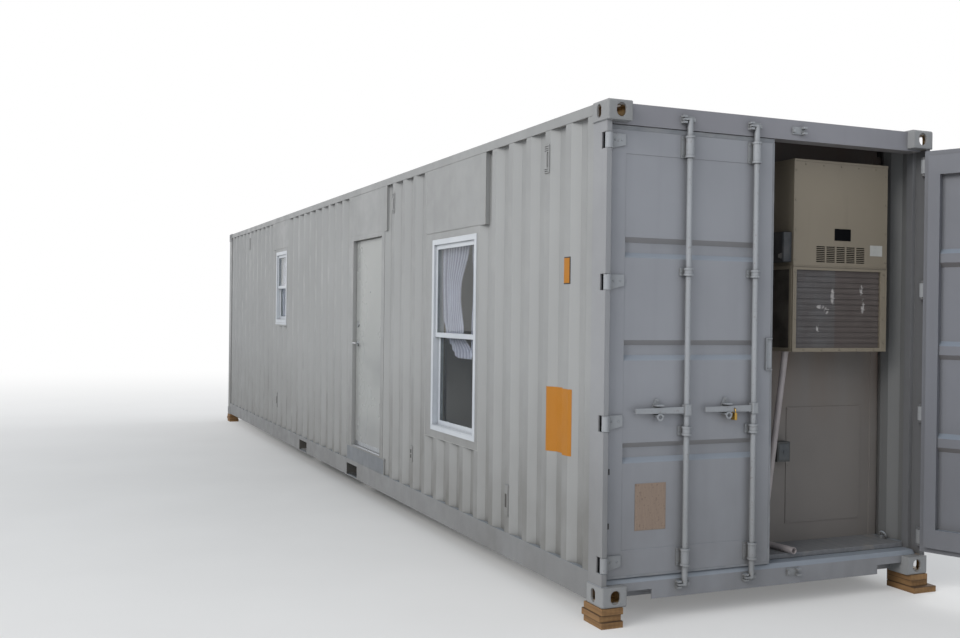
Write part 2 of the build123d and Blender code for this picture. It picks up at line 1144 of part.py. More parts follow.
def door_leaf():
    base = threshold_top + door_gap
    leaf = block(
        (door_along, door_along + door_width), door_leaf_ins(), (base, base + door_height)
    )
    leaf = leaf - lock_bore(lever_height, spindle_radius + bearing_gap, door_leaf_ins())
    return [fuse([leaf] + [door_moving_barrel(low) for low in door_hinge_lows()])]


def door_lock():
    """The lever's roses and the deadbolt's cylinder, on both faces of the leaf."""
    front, back = door_leaf_ins()
    pieces = []
    for ins in ((front - rose_thickness, front), (back, back + rose_thickness)):
        rose = lock_bore(lever_height, rose_radius, ins)
        rose = rose - lock_bore(lever_height, spindle_radius + bearing_gap, ins)
        pieces += [rose, lock_bore(lever_height + deadbolt_rise, rose_radius, ins)]
    return pieces


def door_lever():
    front, back = door_leaf_ins()
    outer = front - rose_thickness - lever_standoff
    inner = back + rose_thickness + lever_standoff
    pieces = [lock_bore(lever_height, spindle_radius, (outer, inner))]
    height_at = threshold_top + door_gap + lever_height
    for step in (outer, inner):
        arm = Rot(0, 90, 0) * Cylinder(
            lever_radius, lever_length, align=(Align.CENTER, Align.CENTER, Align.MIN)
        )
        pieces.append(Pos(along(lock_run()), inward(step), height_at) * arm)
        pieces.append(Pos(along(lock_run()), inward(step), height_at) * Sphere(lever_radius))
    return [fuse(pieces)]


def leaf_heights():
    return (sill_top + leaf_clearance, header_underside - leaf_clearance)


def leaf_ins():
    return (leaf_edge, width / 2 - leaf_centre_gap / 2)


def leaf_runs():
    return (leaf_inset, leaf_inset + leaf_thickness)


def band_middles():
    """The heights of the pressed bands' middles."""
    first = band_centre - band_pitch * (band_count - 1) / 2
    return [first + band_pitch * number for number in range(band_count)]


def leaf_panel():
    ins = leaf_ins()
    low, high = leaf_heights()
    low_panel, high_panel = low + leaf_bottom_rail, high - leaf_top_rail
    front = leaf_inset + leaf_panel_setback
    outer = [(front, low_panel)]
    half = band_height / 2
    for middle in band_middles():
        outer += [
            (front, middle - half),
            (front + band_depth, middle - half + band_slope),
            (front + band_depth, middle + half - band_slope),
            (front, middle + half),
        ]
    outer.append((front, high_panel))
    inner = [(run + sheet, z) for run, z in reversed(outer)]
    outline = [(along(run), z) for run, z in outer + inner]
    return crosswise(outline, (inward(ins[0] + stile_width), inward(ins[1] - stile_width)))


def leaf_shoulder():
    """The step in the leaf's inner face at the hinges, top and bottom, which clears the frame."""
    ins = leaf_ins()
    low, high = leaf_heights()
    runs = (leaf_inset + leaf_flange, leaf_inset + leaf_thickness)
    kept = block(runs, (ins[0] + leaf_lip, ins[1]), (low + leaf_lip, high - leaf_lip))
    return block(runs, ins, (low, high)) - kept


def leaf():
    ins = leaf_ins()
    low, high = leaf_heights()
    runs = leaf_runs()
    hinge_stile = block(runs, (ins[0], ins[0] + stile_width), (low, high))
    free_stile = block(runs, (ins[1] - stile_width, ins[1]), (low, high))
    inner = (ins[0] + stile_width, ins[1] - stile_width)
    bottom = block(runs, inner, (low, low + leaf_bottom_rail))
    top = block(runs, inner, (high - leaf_top_rail, high))
    whole = fuse([hinge_stile, free_stile, bottom, top, leaf_panel()])
    return [whole - leaf_shoulder()]


def leaf_hinge(middle):
    low, high = middle - blade_height / 2, middle + blade_height / 2
    knuckle = peg(pin_inset, pin_in, knuckle_radius, (low, high))
    root = leaf_inset - blade_thickness
    outline = [
        (inward(pin_in), low),
        (inward(leaf_edge), low),
        (inward(pin_in + blade_reach), low + blade_taper),
        (inward(pin_in + blade_reach), high),
        (inward(pin_in), high),
    ]
    blade = lengthwise(outline, (along(leaf_inset), along(root)))
    bore = peg(pin_inset, pin_in, pin_radius + bearing_gap, (low, high))
    return fuse([knuckle, blade]) - bore


def leaf_hinges():
    return [leaf_hinge(middle) for middle in hinge_heights()]


def guide_spans():
    """The heights of the bar guides, from the sill up."""
    lows = (
        (sill_top + low_guide_rise, low_guide_length),
        (handle_height - handle_guide_drop, handle_guide_length),
        (header_underside - upper_guide_drop, upper_guide_length),
        (header_underside - top_guide_drop, top_guide_length),
    )
    return [(low, low + size) for low, size in lows]


def bar_guide(step, span):
    """A sleeve round the bar with a collar at each end, on a plate against the leaf."""
    ins = (step - guide_half_width, step + guide_half_width)
    plate = block((leaf_inset - guide_plate, leaf_inset), ins, span)
    sleeve = peg(bar_inset, step, guide_radius, span)
    collars = []
    for low in (span[0], span[1] - guide_collar):
        collars.append(peg(bar_inset, step, guide_collar_radius, (low, low + guide_collar)))
    bore = peg(bar_inset, step, bar_radius + bearing_gap, span)
    return fuse([plate, sleeve] + collars) - bore


def handle_hasp(step):
    """A pointed plate with a jaw over and under the handle, and a ring below for a padlock."""
    face = leaf_inset + leaf_panel_setback
    half, point = hasp_width / 2, hasp_point_width / 2
    low = handle_height - handle_root_width / 2 - hasp_gap
    high = handle_height + handle_root_width / 2 + hasp_gap
    outline = [
        (inward(step - half), low - hasp_jaw),
        (inward(step + half), low - hasp_jaw),
        (inward(step + half), handle_height + hasp_shoulder_rise),
        (inward(step + point), handle_height + hasp_point_rise),
        (inward(step - point), handle_height + hasp_point_rise),
        (inward(step - half), handle_height + hasp_shoulder_rise),
    ]
    plate = lengthwise(outline, (along(face), along(leaf_inset - guide_plate)))
    ins = (step - half, step + half)
    jaws = []
    for span in ((low - hasp_jaw, low), (high, high + hasp_jaw)):
        jaws.append(block((hasp_front, face), ins, span))
    turned = Pos(along(hasp_front), inward(step), handle_height - ring_drop) * Rot(0, -90, 0)
    disc = Cylinder(ring_radius, ring_thickness, align=(Align.CENTER, Align.CENTER, Align.MIN))
    hole = Cylinder(ring_hole, ring_thickness, align=(Align.CENTER, Align.CENTER, Align.MIN))
    return fuse([plate, turned * disc] + jaws) - turned * hole


def stile_latch():
    """An open-fronted latch box on the free stile."""
    edge = leaf_ins()[1] - latch_from_edge
    ins = (edge - latch_width, edge)
    span = (latch_middle - latch_height / 2, latch_middle + latch_height / 2)
    runs = (leaf_inset - latch_depth, leaf_inset)
    wall = latch_wall
    hollow = block(
        (runs[0], runs[1] - wall), (ins[0] + wall, ins[1]), (span[0] + wall, span[1] - wall)
    )
    return block(runs, ins, span) - hollow


def leaf_fittings():
    pieces = []
    for step in bar_distances:
        pieces += [bar_guide(step, span) for span in guide_spans()]
        pieces.append(handle_hasp(step - hasp_distance))
    return pieces + [stile_latch()]


def bar_ends():
    """The lower and upper ends of the lock bars, cams included."""
    return (sill_top - bar_below_sill, header_underside + bar_above_header)


def cam_lows():
    low, high = bar_ends()
    return (low, high - tongue_thickness)


def lock_bar(step):
    """The plain round bar between its two cams."""
    low, high = bar_ends()
    return [peg(bar_inset, step, bar_radius, (low + tongue_thickness, high - tongue_thickness))]


def cam(step, low):
    """A disc on the end of the bar with the tongue that enters a keeper."""
    span = (low, low + tongue_thickness)
    half = tongue_width / 2
    disc = peg(bar_inset, step, bar_radius, span)
    tongue = block((bar_inset - half, bar_inset + half), (step - tongue_length, step), span)
    return fuse([disc, tongue])


def handle(step):
    """The hub round the bar and the tapered arm, which lies towards the hinges."""
    span = (handle_height - hub_height / 2, handle_height + hub_height / 2)
    half = hub_size / 2
    hub = block((bar_inset - half, bar_inset + half), (step - half, step + half), span)
    hub = fillet(hub.edges().filter_by(Axis.Z), hub_corner)
    tip, root = handle_tip_width / 2, handle_root_width / 2
    outline = [
        (inward(step - handle_length), handle_height - tip),
        (inward(step), handle_height - root),
        (inward(step), handle_height + root),
        (inward(step - handle_length), handle_height + tip),
    ]
    arm = lengthwise(outline, (along(bar_inset), along(bar_inset - handle_depth)))
    return fuse([hub, arm]) - peg(bar_inset, step, bar_radius + seat_gap, span)


def bar_fittings(step):
    return [cam(step, low) for low in cam_lows()] + [handle(step)]


def shackle_height():
    """The height of the shackle's top when its bow hangs in the handle's hole."""
    bow = shackle_reach - shackle_radius
    under = math.sqrt(bow**2 - (handle_depth / 2) ** 2)
    return handle_height - shackle_hole + seat_gap + shackle_reach - under


def drilled_bar_fittings(bar):
    """A bar's cams, and its handle with the hole for the padlock."""
    lower, upper, arm = bar_fittings(bar)
    step = bar - padlock_distance
    drilled = Pos(along(bar_inset), inward(step), handle_height) * Rot(0, 90, 0)
    hole = Cylinder(shackle_hole, hub_size * 2)
    return [lower, upper, arm - drilled * hole]


def padlock():
    """A block with a round shackle that passes through the handle's hole."""
    step = bar_distances[1] - padlock_distance
    middle = bar_inset - handle_depth / 2
    top = shackle_height() - shackle_reach - shackle_rise
    runs = (middle - padlock_width / 2, middle + padlock_width / 2)
    ins = (step - padlock_depth / 2, step + padlock_depth / 2)
    body = block(runs, ins, (top - padlock_height, top))
    body = fillet(body.edges(), padlock_corner)
    near, far = along(middle - shackle_reach), along(middle + shackle_reach)
    rise = top + shackle_rise
    legs = [Line((x, top - padlock_corner), (x, rise)) for x in (near, far)]
    bow = ThreePointArc((near, rise), ((near + far) / 2, rise + shackle_reach), (far, rise))
    path = Wire([Plane.XZ * edge.edge() for edge in (legs[0], bow, legs[1])])
    start = Plane(origin=path @ 0, z_dir=path % 0)
    shackle = sweep(start * Circle(shackle_radius), path=path)
    return [fuse([body, Pos(0, inward(step), 0) * shackle])]


def keeper(step, tongue_low):
    """Jaws over and under a lock bar's tongue and a small stop beside it, on one base plate."""
    ins_far = step - bar_radius - keeper_gap
    ins = (ins_far - keeper_width, ins_far)
    low = tongue_low - tongue_gap
    high = tongue_low + tongue_thickness + tongue_gap
    stop_from = step + bar_radius + keeper_gap
    stop_ins = (stop_from, stop_from + keeper_stop_width)
    whole = (low - keeper_jaw, high + keeper_jaw)
    base = block((header_inset - keeper_base, header_inset), (ins[0], stop_ins[1]), whole)
    jaws = [block((stop_front, header_inset), stop_ins, (low, high))]
    for span in ((low - keeper_jaw, low), (high, high + keeper_jaw)):
        jaws.append(block((keeper_front, header_inset), ins, span))
    return fuse([base] + jaws)


def bar_keepers():
    """The keepers of both left bars and of the inner right one, whose neighbour's are missing."""
    outer, inner = bar_distances
    pieces = []
    for low in cam_lows():
        pieces += [keeper(outer, low), keeper(inner, low), across(keeper(inner, low))]
    return pieces


def opened(shape):
    """A piece of the left leaf mirrored to the right leaf and swung out about its hinge pins."""
    pin = (along(pin_inset), width / 2 - pin_in, 0)
    swung = Pos(*pin) * Rot(0, 0, right_leaf_open) * Pos(-pin[0], -pin[1], 0)
    return swung * across(shape)


def bulkhead():
    ins = (wall_inset + wall_depth + sheet, width - wall_inset - wall_depth - sheet)
    runs = (bulkhead_inset, bulkhead_inset + bulkhead_thickness)
    high = height - roof_line_drop - roof_depth - sheet
    ins_high = (side_inset + top_rail_size, width - side_inset - top_rail_size)
    low_part = block(runs, ins, (floor_top, wall_heights()[1]))
    high_part = block(runs, ins_high, (wall_heights()[1], high))
    return [fuse([low_part, high_part])]


def unit_ins():
    return (unit_from, unit_from + unit_width)


def air_conditioner():
    ins = unit_ins()
    runs = (unit_inset, bulkhead_inset)
    cabinet = block(runs, ins, (unit_underside, unit_top))
    coil = (unit_inset, unit_inset + coil_slat_depth + coil_setback)
    opening = block(
        coil,
        (ins[0] + coil_left_margin, ins[1] - coil_right_margin),
        (unit_underside + coil_low_margin, unit_split - coil_low_margin),
    )
    slots = []
    for column in range(louvre_columns):
        left = ins[0] + louvre_from + louvre_pitch * column
        for row in range(louvre_rows):
            low = unit_split + louvre_low + louvre_row_pitch * row
            slots.append(
                block(
                    (unit_inset, unit_inset + louvre_depth),
                    (left, left + louvre_width),
                    (low, low + louvre_slot),
                )
            )
    return [cabinet.cut(opening, *slots)]


def coil_grille():
    """Slats across the outdoor coil, held by a back plate."""
    ins = (unit_ins()[0] + coil_left_margin, unit_ins()[1] - coil_right_margin)
    low = unit_underside + coil_low_margin
    high = unit_split - coil_low_margin
    back = unit_inset + coil_setback + coil_slat_depth
    slats = [block((back - coil_slat, back), ins, (low, high))]
    count = int((high - low) / coil_slat_pitch)
    for number in range(1, count):
        middle = low + (high - low) * number / count
        slats.append(
            block((back - coil_slat_depth, back), ins, (middle - coil_slat / 2, middle + coil_slat / 2))
        )
    return [fuse(slats)]


def service_panel():
    ins = (service_panel_from, service_panel_from + service_panel_width)
    runs = (bulkhead_inset - service_panel_proud, bulkhead_inset)
    return [block(runs, ins, (service_panel_low, service_panel_high))]


def disconnect_box():
    ins = (box_from, box_from + box_width)
    return [block((bulkhead_inset - box_depth, bulkhead_inset), ins, (box_low, box_high))]


def unit_switch_box():
    """The shallow switch box on the unit's left side."""
    ins = (unit_from - switch_depth, unit_from)
    body = block(switch_runs, ins, (switch_low, switch_high))
    return [fillet(body.edges().filter_by(Axis.Y), switch_corner)]


def drain_pipe():
    floor_line = floor_top + pipe_radius
    pipe_end_along = leaf_runs()[1] + pipe_end_clearance
    points = [
        (along(pipe_top_along), inward(pipe_top_in), unit_underside),
        (along(pipe_foot_along), inward(pipe_foot_in), floor_line),
        (along(pipe_end_along), inward(pipe_end_in), floor_line),
    ]
    path = FilletPolyline(*points, radius=pipe_bend)
    start = Plane(origin=path @ 0, z_dir=path % 0)
    outer = sweep(start * Circle(pipe_radius), path=path)
    inner = sweep(start * Circle(pipe_bore), path=path)
    above = slab(
        (along(length), along(0)), (inward(0), inward(width)), (unit_underside, height)
    )
    return [outer - inner - above]


def crest(distance):
    """The middle of the wall's outer flat that is nearest to a distance along."""
    pitch = wall_outer_flat + 2 * wall_slope + wall_inner_flat
    first = casting_length + wall_outer_flat / 2
    return first + pitch * round((distance - first) / pitch)


def on_crest(distance, size, proud, heights):
    middle = crest(distance)
    return block((middle - size / 2, middle + size / 2), (wall_inset - proud, wall_inset), heights)


def vent_slot_rows(low, high):
    """The heights of the vent's cross slots, above and below its side slot."""
    foot = [low + vent_slot_margin + vent_slot_pitch * number for number in range(vent_foot_slots)]
    start = high - vent_slot_margin - vent_slot_height
    head = [start - vent_slot_pitch * number for number in range(vent_top_slots)]
    return foot, head


def wall_vent(distance):
    """A cover on a crest, slotted across at its head and foot and down one side."""
    high = wall_heights()[1] - vent_drop
    low = high - vent_height
    cover = on_crest(distance, vent_width, vent_proud, (low, high))
    front = wall_inset - vent_proud
    ins = (front, front + vent_slot_depth)
    edge = crest(distance) - vent_width / 2 + vent_slot_margin
    across_runs = (edge, edge + vent_width - 2 * vent_slot_margin)
    foot, head = vent_slot_rows(low, high)
    slots = [block(across_runs, ins, (row, row + vent_slot_height)) for row in foot + head]
    side = (foot[-1] + vent_slot_pitch, head[-1] - vent_slot_pitch + vent_slot_height)
    slots.append(block((edge, edge + vent_side_slot), ins, side))
    return cover.cut(*slots)


def wall_vents():
    return [wall_vent(distance) for distance in vent_alongs]


def service_inlet(distance, low, size):
    """A shallow weatherproof box on a crest with a raised lid."""
    body = on_crest(distance, inlet_width, inlet_proud, (low, low + size))
    body = fillet(body.edges().filter_by(Axis.Y), inlet_corner)
    lid = on_crest(
        distance,
        inlet_width - 2 * lid_margin,
        inlet_proud + lid_proud,
        (low + lid_margin, low + size - lid_margin),
    )
    lid = fillet(lid.edges().filter_by(Axis.Y), inlet_corner)
    return fuse([body, lid])


def service_inlets():
    return [service_inlet(*place) for place in inlet_places]


def lashing_ring():
    """A ring that leans towards the side wall from a staple on the floor."""
    reach = lashing_ring_radius + lashing_wire_radius
    lift = lashing_ring_radius * math.sin(math.radians(lashing_lean)) + lashing_wire_radius
    middle = Pos(along(lashing_along), inward(lashing_in), floor_top + lift)
    ring = middle * Rot(lashing_lean, 0, 0) * Torus(lashing_ring_radius, lashing_wire_radius)
    half = lashing_staple / 2
    foot = lashing_in + reach * math.cos(math.radians(lashing_lean))
    staple = block(
        (lashing_along - half, lashing_along + half),
        (foot - lashing_staple, foot + lashing_wire_radius),
        (floor_top, floor_top + lashing_staple),
    )
    return fuse([ring, staple])


def lashing_rings():
    ring = lashing_ring()
    return [ring, across(ring)]


def rod_height(window):
    return inner_opening(window)[1][1] - rod_below_head


def rod_piece(window, runs, radius):
    """A round bar lengthwise at the rod's height."""
    middle = Pos(along(runs[1]), inward(rod_in), rod_height(window))
    bar = Cylinder(radius, runs[1] - runs[0], align=(Align.CENTER, Align.CENTER, Align.MIN))
    return middle * Rot(0, 90, 0) * bar


def curtain_rod(window):
    """A rod between the sides of the window frame, with a cup at each end."""
    low, high = inner_opening(window)[0]
    rod = rod_piece(window, (low, high), rod_radius)
    near_cup = rod_piece(window, (low, low + rod_cup), rod_cup_radius)
    far_cup = rod_piece(window, (high - rod_cup, high), rod_cup_radius)
    return fuse([rod, near_cup, far_cup])


def curtain_rods():
    return [curtain_rod(near_window()), curtain_rod(far_window())]


def curtain(window, drop):
    low, high = inner_opening(window)[0]
    top = rod_height(window) - rod_radius - curtain_ease
    half = curtain_thickness / 2
    runs = (low + curtain_side_gap, high - curtain_side_gap)
    return [block(runs, (rod_in - half, rod_in + half), (top - drop, top))]


def near_curtain():
    return curtain(near_window(), near_curtain_drop)


def far_curtain():
    return curtain(far_window(), far_curtain_drop)


def origin_shift():
    """Half of what the open leaf adds to the plan, so that the origin is under the whole's middle."""
    reach = leaf_ins()[1] - pin_in
    swing = math.radians(right_leaf_open)
    tip_x = along(pin_inset) + reach * math.sin(swing)
    tip_y = width / 2 - pin_in - reach * math.cos(swing)
    thickness = leaf_inset + leaf_thickness - pin_inset
    extra_x = tip_x + thickness * abs(math.cos(swing)) - length / 2
    extra_y = tip_y - width / 2
    return (-extra_x / 2, -extra_y / 2)


def place(shape):
    shift_x, shift_y = origin_shift()
    return Pos(shift_x, shift_y, board_thickness * boards_per_stack) * shape


def leaf_pieces(inner_fittings):
    """Everything that one cargo leaf carries, with the leaf closed on the left."""
    outer, inner = bar_distances
    return {
        "leaf": leaf(),
        "leaf_hinges": leaf_hinges(),
        "leaf_fittings": leaf_fittings(),
        "lock_bar_outer": lock_bar(outer),
        "lock_bar_inner": lock_bar(inner),
        "outer_bar_fittings": bar_fittings(outer),
        "inner_bar_fittings": inner_fittings,
    }


def pieces():
    closed = leaf_pieces(drilled_bar_fittings(bar_distances[1]))
    left = {f"left_{name}": shapes for name, shapes in closed.items()}
    plain = leaf_pieces(bar_fittings(bar_distances[1]))
    right = {f"right_{name}": [opened(one) for one in shapes] for name, shapes in plain.items()}
    return {
        "corner_blocks": corner_blocks(),
        "bottom_corner_castings": bottom_castings(),
        "top_corner_castings": top_castings(),
        "door_end_posts": door_end_posts(),
        "closed_end_posts": closed_end_posts(),
        "door_end_header": door_end_header(),
        "door_end_sill": door_end_sill(),
        "closed_end_rails": closed_end_rails(),
        "top_side_rails": top_side_rails(),
        "bottom_side_rails": bottom_side_rails(),
        "cross_members": cross_members(),
        "fork_pocket_plates": fork_pocket_plates(),
        "floor": floor_deck(),
        "roof": roof(),
        "front_wall": front_wall(),
        "back_wall": back_wall(),
        "end_wall": end_wall(),
        "near_window_panel": near_window_panel(),
        "far_window_panel": far_window_panel(),
        "door_panels": door_panels(),
        "inner_lining": inner_lining(),
        "near_window_frame": near_window_frame(),
        "far_window_frame": far_window_frame(),
        "window_glass": window_glass(),
        "near_curtain": near_curtain(),
        "far_curtain": far_curtain(),
        "curtain_rods": curtain_rods(),
        "door_frame": door_frame(),
        "door_leaf": door_leaf(),
        "door_lock": door_lock(),
        "door_lever": door_lever(),
        "bar_keepers": bar_keepers(),
        "bulkhead": bulkhead(),
        "service_panel": service_panel(),
        "air_conditioner": air_conditioner(),
        "coil_grille": coil_grille(),
        "disconnect_box": disconnect_box(),
        "unit_switch_box": unit_switch_box(),
        "drain_pipe": drain_pipe(),
        "wall_vents": wall_vents(),
        "service_inlets": service_inlets(),
        "lashing_rings": lashing_rings(),
        "padlock": padlock(),
        **left,
        **right,
    }


def main():
    os.makedirs("parts", exist_ok=True)
    for name, shapes in pieces().items():
        placed = [place(shape) for shape in shapes]
        whole = placed[0] if len(placed) == 1 else Compound(children=placed)
        export_step(whole, f"parts/{name}.step")


main()
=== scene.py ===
import json
import math

import bmesh
import bpy
from mathutils import Matrix, Vector, noise
from mathutils.bvhtree import BVHTree


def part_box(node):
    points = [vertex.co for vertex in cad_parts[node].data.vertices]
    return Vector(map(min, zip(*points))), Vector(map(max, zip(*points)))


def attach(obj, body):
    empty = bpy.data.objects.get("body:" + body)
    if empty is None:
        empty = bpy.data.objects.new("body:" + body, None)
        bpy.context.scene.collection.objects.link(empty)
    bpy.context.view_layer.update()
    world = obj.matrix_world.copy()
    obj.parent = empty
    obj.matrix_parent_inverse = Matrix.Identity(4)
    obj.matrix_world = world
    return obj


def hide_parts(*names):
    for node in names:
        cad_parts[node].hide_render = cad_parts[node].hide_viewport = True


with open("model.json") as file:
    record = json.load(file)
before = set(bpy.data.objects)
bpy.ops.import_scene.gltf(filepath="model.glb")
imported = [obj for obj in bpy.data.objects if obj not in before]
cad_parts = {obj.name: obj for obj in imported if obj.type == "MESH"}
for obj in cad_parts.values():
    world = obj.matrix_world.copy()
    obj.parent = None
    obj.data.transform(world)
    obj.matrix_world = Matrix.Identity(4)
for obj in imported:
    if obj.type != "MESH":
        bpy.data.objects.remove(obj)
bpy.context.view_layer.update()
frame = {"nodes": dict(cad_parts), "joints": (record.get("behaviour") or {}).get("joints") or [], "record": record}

nodes = frame["nodes"]
joints = {joint["name"]: joint for joint in frame["joints"]}

# The container's corner that distances start from
CORNER_LOW, CORNER_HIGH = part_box("top_corner_castings")
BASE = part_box("bottom_corner_castings")[0].z
WIDTH = (CORNER_HIGH.y - CORNER_LOW.y) * 1000


def at(run, step, rise):
    """A point from millimetres in from the cargo end and the door side, and up from the castings."""
    return Vector(
        (CORNER_HIGH.x - run / 1000, CORNER_LOW.y + step / 1000, BASE + rise / 1000)
    )


def opened_matrix():
    """The matrix that takes a piece of the closed left leaf to the open right leaf."""
    joint = joints["right_leaf_hinge"]
    pin = Vector((joint["pos_m"][0], joint["pos_m"][1], 0))
    middle = (CORNER_LOW.y + CORNER_HIGH.y) / 2
    mirror = Matrix.Translation((0, 2 * middle, 0)) @ Matrix.Diagonal((1, -1, 1, 1))
    turn = Matrix.Rotation(math.radians(-joint["range_deg"][0]), 4, "Z")
    return Matrix.Translation(pin) @ turn @ Matrix.Translation(-pin) @ mirror


OPENED = opened_matrix()


# Materials

class Look:
    """A node material built up in layers on its Principled shader."""

    def __init__(self, name, **sockets):
        self.material = bpy.data.materials.new(name)
        self.material.use_nodes = True
        self.tree = self.material.node_tree
        self.shader = self.tree.nodes["Principled BSDF"]
        for socket, value in sockets.items():
            self.shader.inputs[socket.replace("_", " ")].default_value = value
        self.place = self.node("ShaderNodeTexCoord").outputs["Object"]

    def node(self, kind, inputs=None, **settings):
        made = self.tree.nodes.new(kind)
        for key, value in settings.items():
            setattr(made, key, value)
        for socket, value in (inputs or {}).items():
            if isinstance(value, bpy.types.NodeSocket):
                self.tree.links.new(value, made.inputs[socket])
            else:
                made.inputs[socket].default_value = value
        return made

    def range(self, value, low, high, to_low=0.0, to_high=1.0):
        inputs = {"Value": value, 1: low, 2: high, 3: to_low, 4: to_high}
        return self.node("ShaderNodeMapRange", inputs).outputs[0]

    def noise(self, scale, stretch=(1, 1, 1), low=0.35, high=0.65, detail=3.0):
        """Noise spread to the range from 0 to 1, with scale in cycles a metre."""
        mapped = self.node("ShaderNodeMapping", {"Vector": self.place, "Scale": stretch})
        made = self.node(
            "ShaderNodeTexNoise",
            {"Vector": mapped.outputs[0], "Scale": scale, "Detail": detail},
        )
        return self.range(made.outputs["Fac"], low, high)

    def math(self, operation, first, second):
        return self.node("ShaderNodeMath", {0: first, 1: second}, operation=operation).outputs[0]

    def mix(self, factor, first, second):
        inputs = {0: factor, 6: first, 7: second}
        return self.node("ShaderNodeMix", inputs, data_type="RGBA").outputs[2]

    def axis(self, letter, position=None):
        split = self.node("ShaderNodeSeparateXYZ", {0: position or self.place})
        return split.outputs[letter]

    def facing(self, letter):
        normal = self.node("ShaderNodeNewGeometry").outputs["Normal"]
        return self.axis(letter, normal)

    def set(self, socket, value):
        self.tree.links.new(value, self.shader.inputs[socket])
        return self

    def relief(self, *layers, edge=0.0):
        """Bump from (height, depth in metres) layers over rounded edges."""
        normal = None
        if edge:
            normal = self.node("ShaderNodeBevel", {"Radius": edge}, samples=4).outputs[0]
        for height, depth in layers:
            inputs = {"Height": height, "Distance": depth, "Strength": 1.0}
            if normal:
                inputs["Normal"] = normal
            normal = self.node("ShaderNodeBump", inputs).outputs[0]
        self.tree.links.new(normal, self.shader.inputs["Normal"])
        return self


def shade(red, green, blue):
    """A linear colour from the 0 to 255 values it shows as."""
    linear = []
    for value in (red, green, blue):
        value = value / 255
        linear.append(value / 12.92 if value <= 0.04045 else ((value + 0.055) / 1.055) ** 2.4)
    return (*linear, 1.0)


def tinted(color, factor):
    return (*[channel * factor for channel in color[:3]], 1.0)


# Metres up over which the dust and painted shade low on the walls thin out, and metres across at which the far
# side begins
DUST_AND_SHADE_RISES = (0.12, 1.4)
FAR_SIDE = (0.4, 0.5)


def paint(name, color, dust=0.5, crease_dirt_and_shade=0.35, rough=0.42, edge=0.002, wear=0.0, inner=1.0, slopes=0.0):
    """Sprayed paint with faint runs, dust and painted shade low down, painted shade and dirt in the creases, and a
    painted sky highlight on upward faces and painted shade on downward ones.

    slopes paints light on the corrugation faces that turn toward the cargo end and painted shade on those that
    turn away.
    inner paints shade on the faces of the far side that look back into the bay.
    """
    look = Look(name, Metallic=0.0)
    tone = look.mix(look.noise(0.9, detail=4.0), tinted(color, 0.93), tinted(color, 1.05))
    runs = look.noise(9, (1, 1, 0.06), 0.52, 0.75)
    tone = look.mix(look.math("MULTIPLY", runs, 0.22), tone, tinted(color, 0.74))
    # Dust and painted shade, darker towards the bottom.
    low = look.range(look.axis("Z"), *DUST_AND_SHADE_RISES, 1.0, 0.0)
    patchy = look.math("MULTIPLY", low, look.noise(4.5, (1, 1, 0.5), 0.0, 0.7, 5.0))
    dust_and_shade = look.math("MULTIPLY", patchy, dust)
    tone = look.mix(dust_and_shade, tone, shade(88, 85, 79))
    # Painted light: a pale blue sky highlight on faces that look up and a brown painted shade on faces that look
    # down.
    up = look.facing("Z")
    tone = look.mix(look.range(up, 0.15, 0.7, 0.0, 0.35), tone, shade(150, 168, 186))
    tone = look.mix(look.range(up, -0.15, -0.7, 0.0, 0.3), tone, shade(120, 108, 92))
    # Painted light on corrugation slopes that turn toward the cargo end, painted shade on those that turn away.
    if slopes:
        along = look.facing("X")
        tone = look.mix(look.range(along, 0.15, 0.6, 0.0, slopes), tone, tinted(color, 1.25))
        tone = look.mix(look.range(along, -0.15, -0.6, 0.0, slopes), tone, tinted(color, 0.45))
    # Painted shade on the far side's faces that look back into the bay.
    if inner < 1:
        turned = look.range(look.facing("Y"), 0.1, -0.1)
        beyond = look.range(look.axis("Y"), *FAR_SIDE)
        tone = look.mix(look.math("MULTIPLY", turned, beyond), tone, tinted(color, inner))
    # Painted shade with some dirt, in the creases that ambient occlusion finds.
    crease = look.node("ShaderNodeAmbientOcclusion", {"Distance": 0.06}, samples=6)
    dark = look.range(crease.outputs["AO"], 0.35, 0.95, crease_dirt_and_shade, 0.0)
    tone = look.mix(dark, tone, shade(76, 73, 68))
    if wear:
        flecks = look.math("MULTIPLY", look.noise(55, low=0.62, high=0.68, detail=5.0), wear)
        tone = look.mix(flecks, tone, shade(96, 72, 52))
    look.set("Base Color", tone)
    look.set("Roughness", look.range(look.noise(6), 0, 1, rough - 0.06, rough + 0.1))
    peel = look.noise(240, low=0.2, high=0.8)
    buckle = look.noise(2.2, low=0.2, high=0.8)
    return look.relief((buckle, 0.003), (peel, 0.00012), edge=edge).material


def casting_paint(name, color):
    """Paint outside, with rusty dust in the hollow."""
    look = Look(name, Roughness=0.55)
    tone = look.mix(look.noise(3, detail=4.0), tinted(color, 0.92), tinted(color, 1.04))
    inner = look.node("ShaderNodeAmbientOcclusion", {"Distance": 0.16}, samples=8)
    deep = look.range(inner.outputs["AO"], 0.16, 0.36, 1.0, 0.0)
    rust = look.mix(look.noise(30, detail=5.0), shade(128, 92, 46), shade(184, 152, 98))
    tone = look.mix(deep, tone, rust)
    look.set("Base Color", tone)
    return look.relief((look.noise(90, detail=5.0), 0.0006), edge=0.008).material


# Metres up to the seams between the stacked boards
BOARD_SEAMS = (0.038, 0.076)


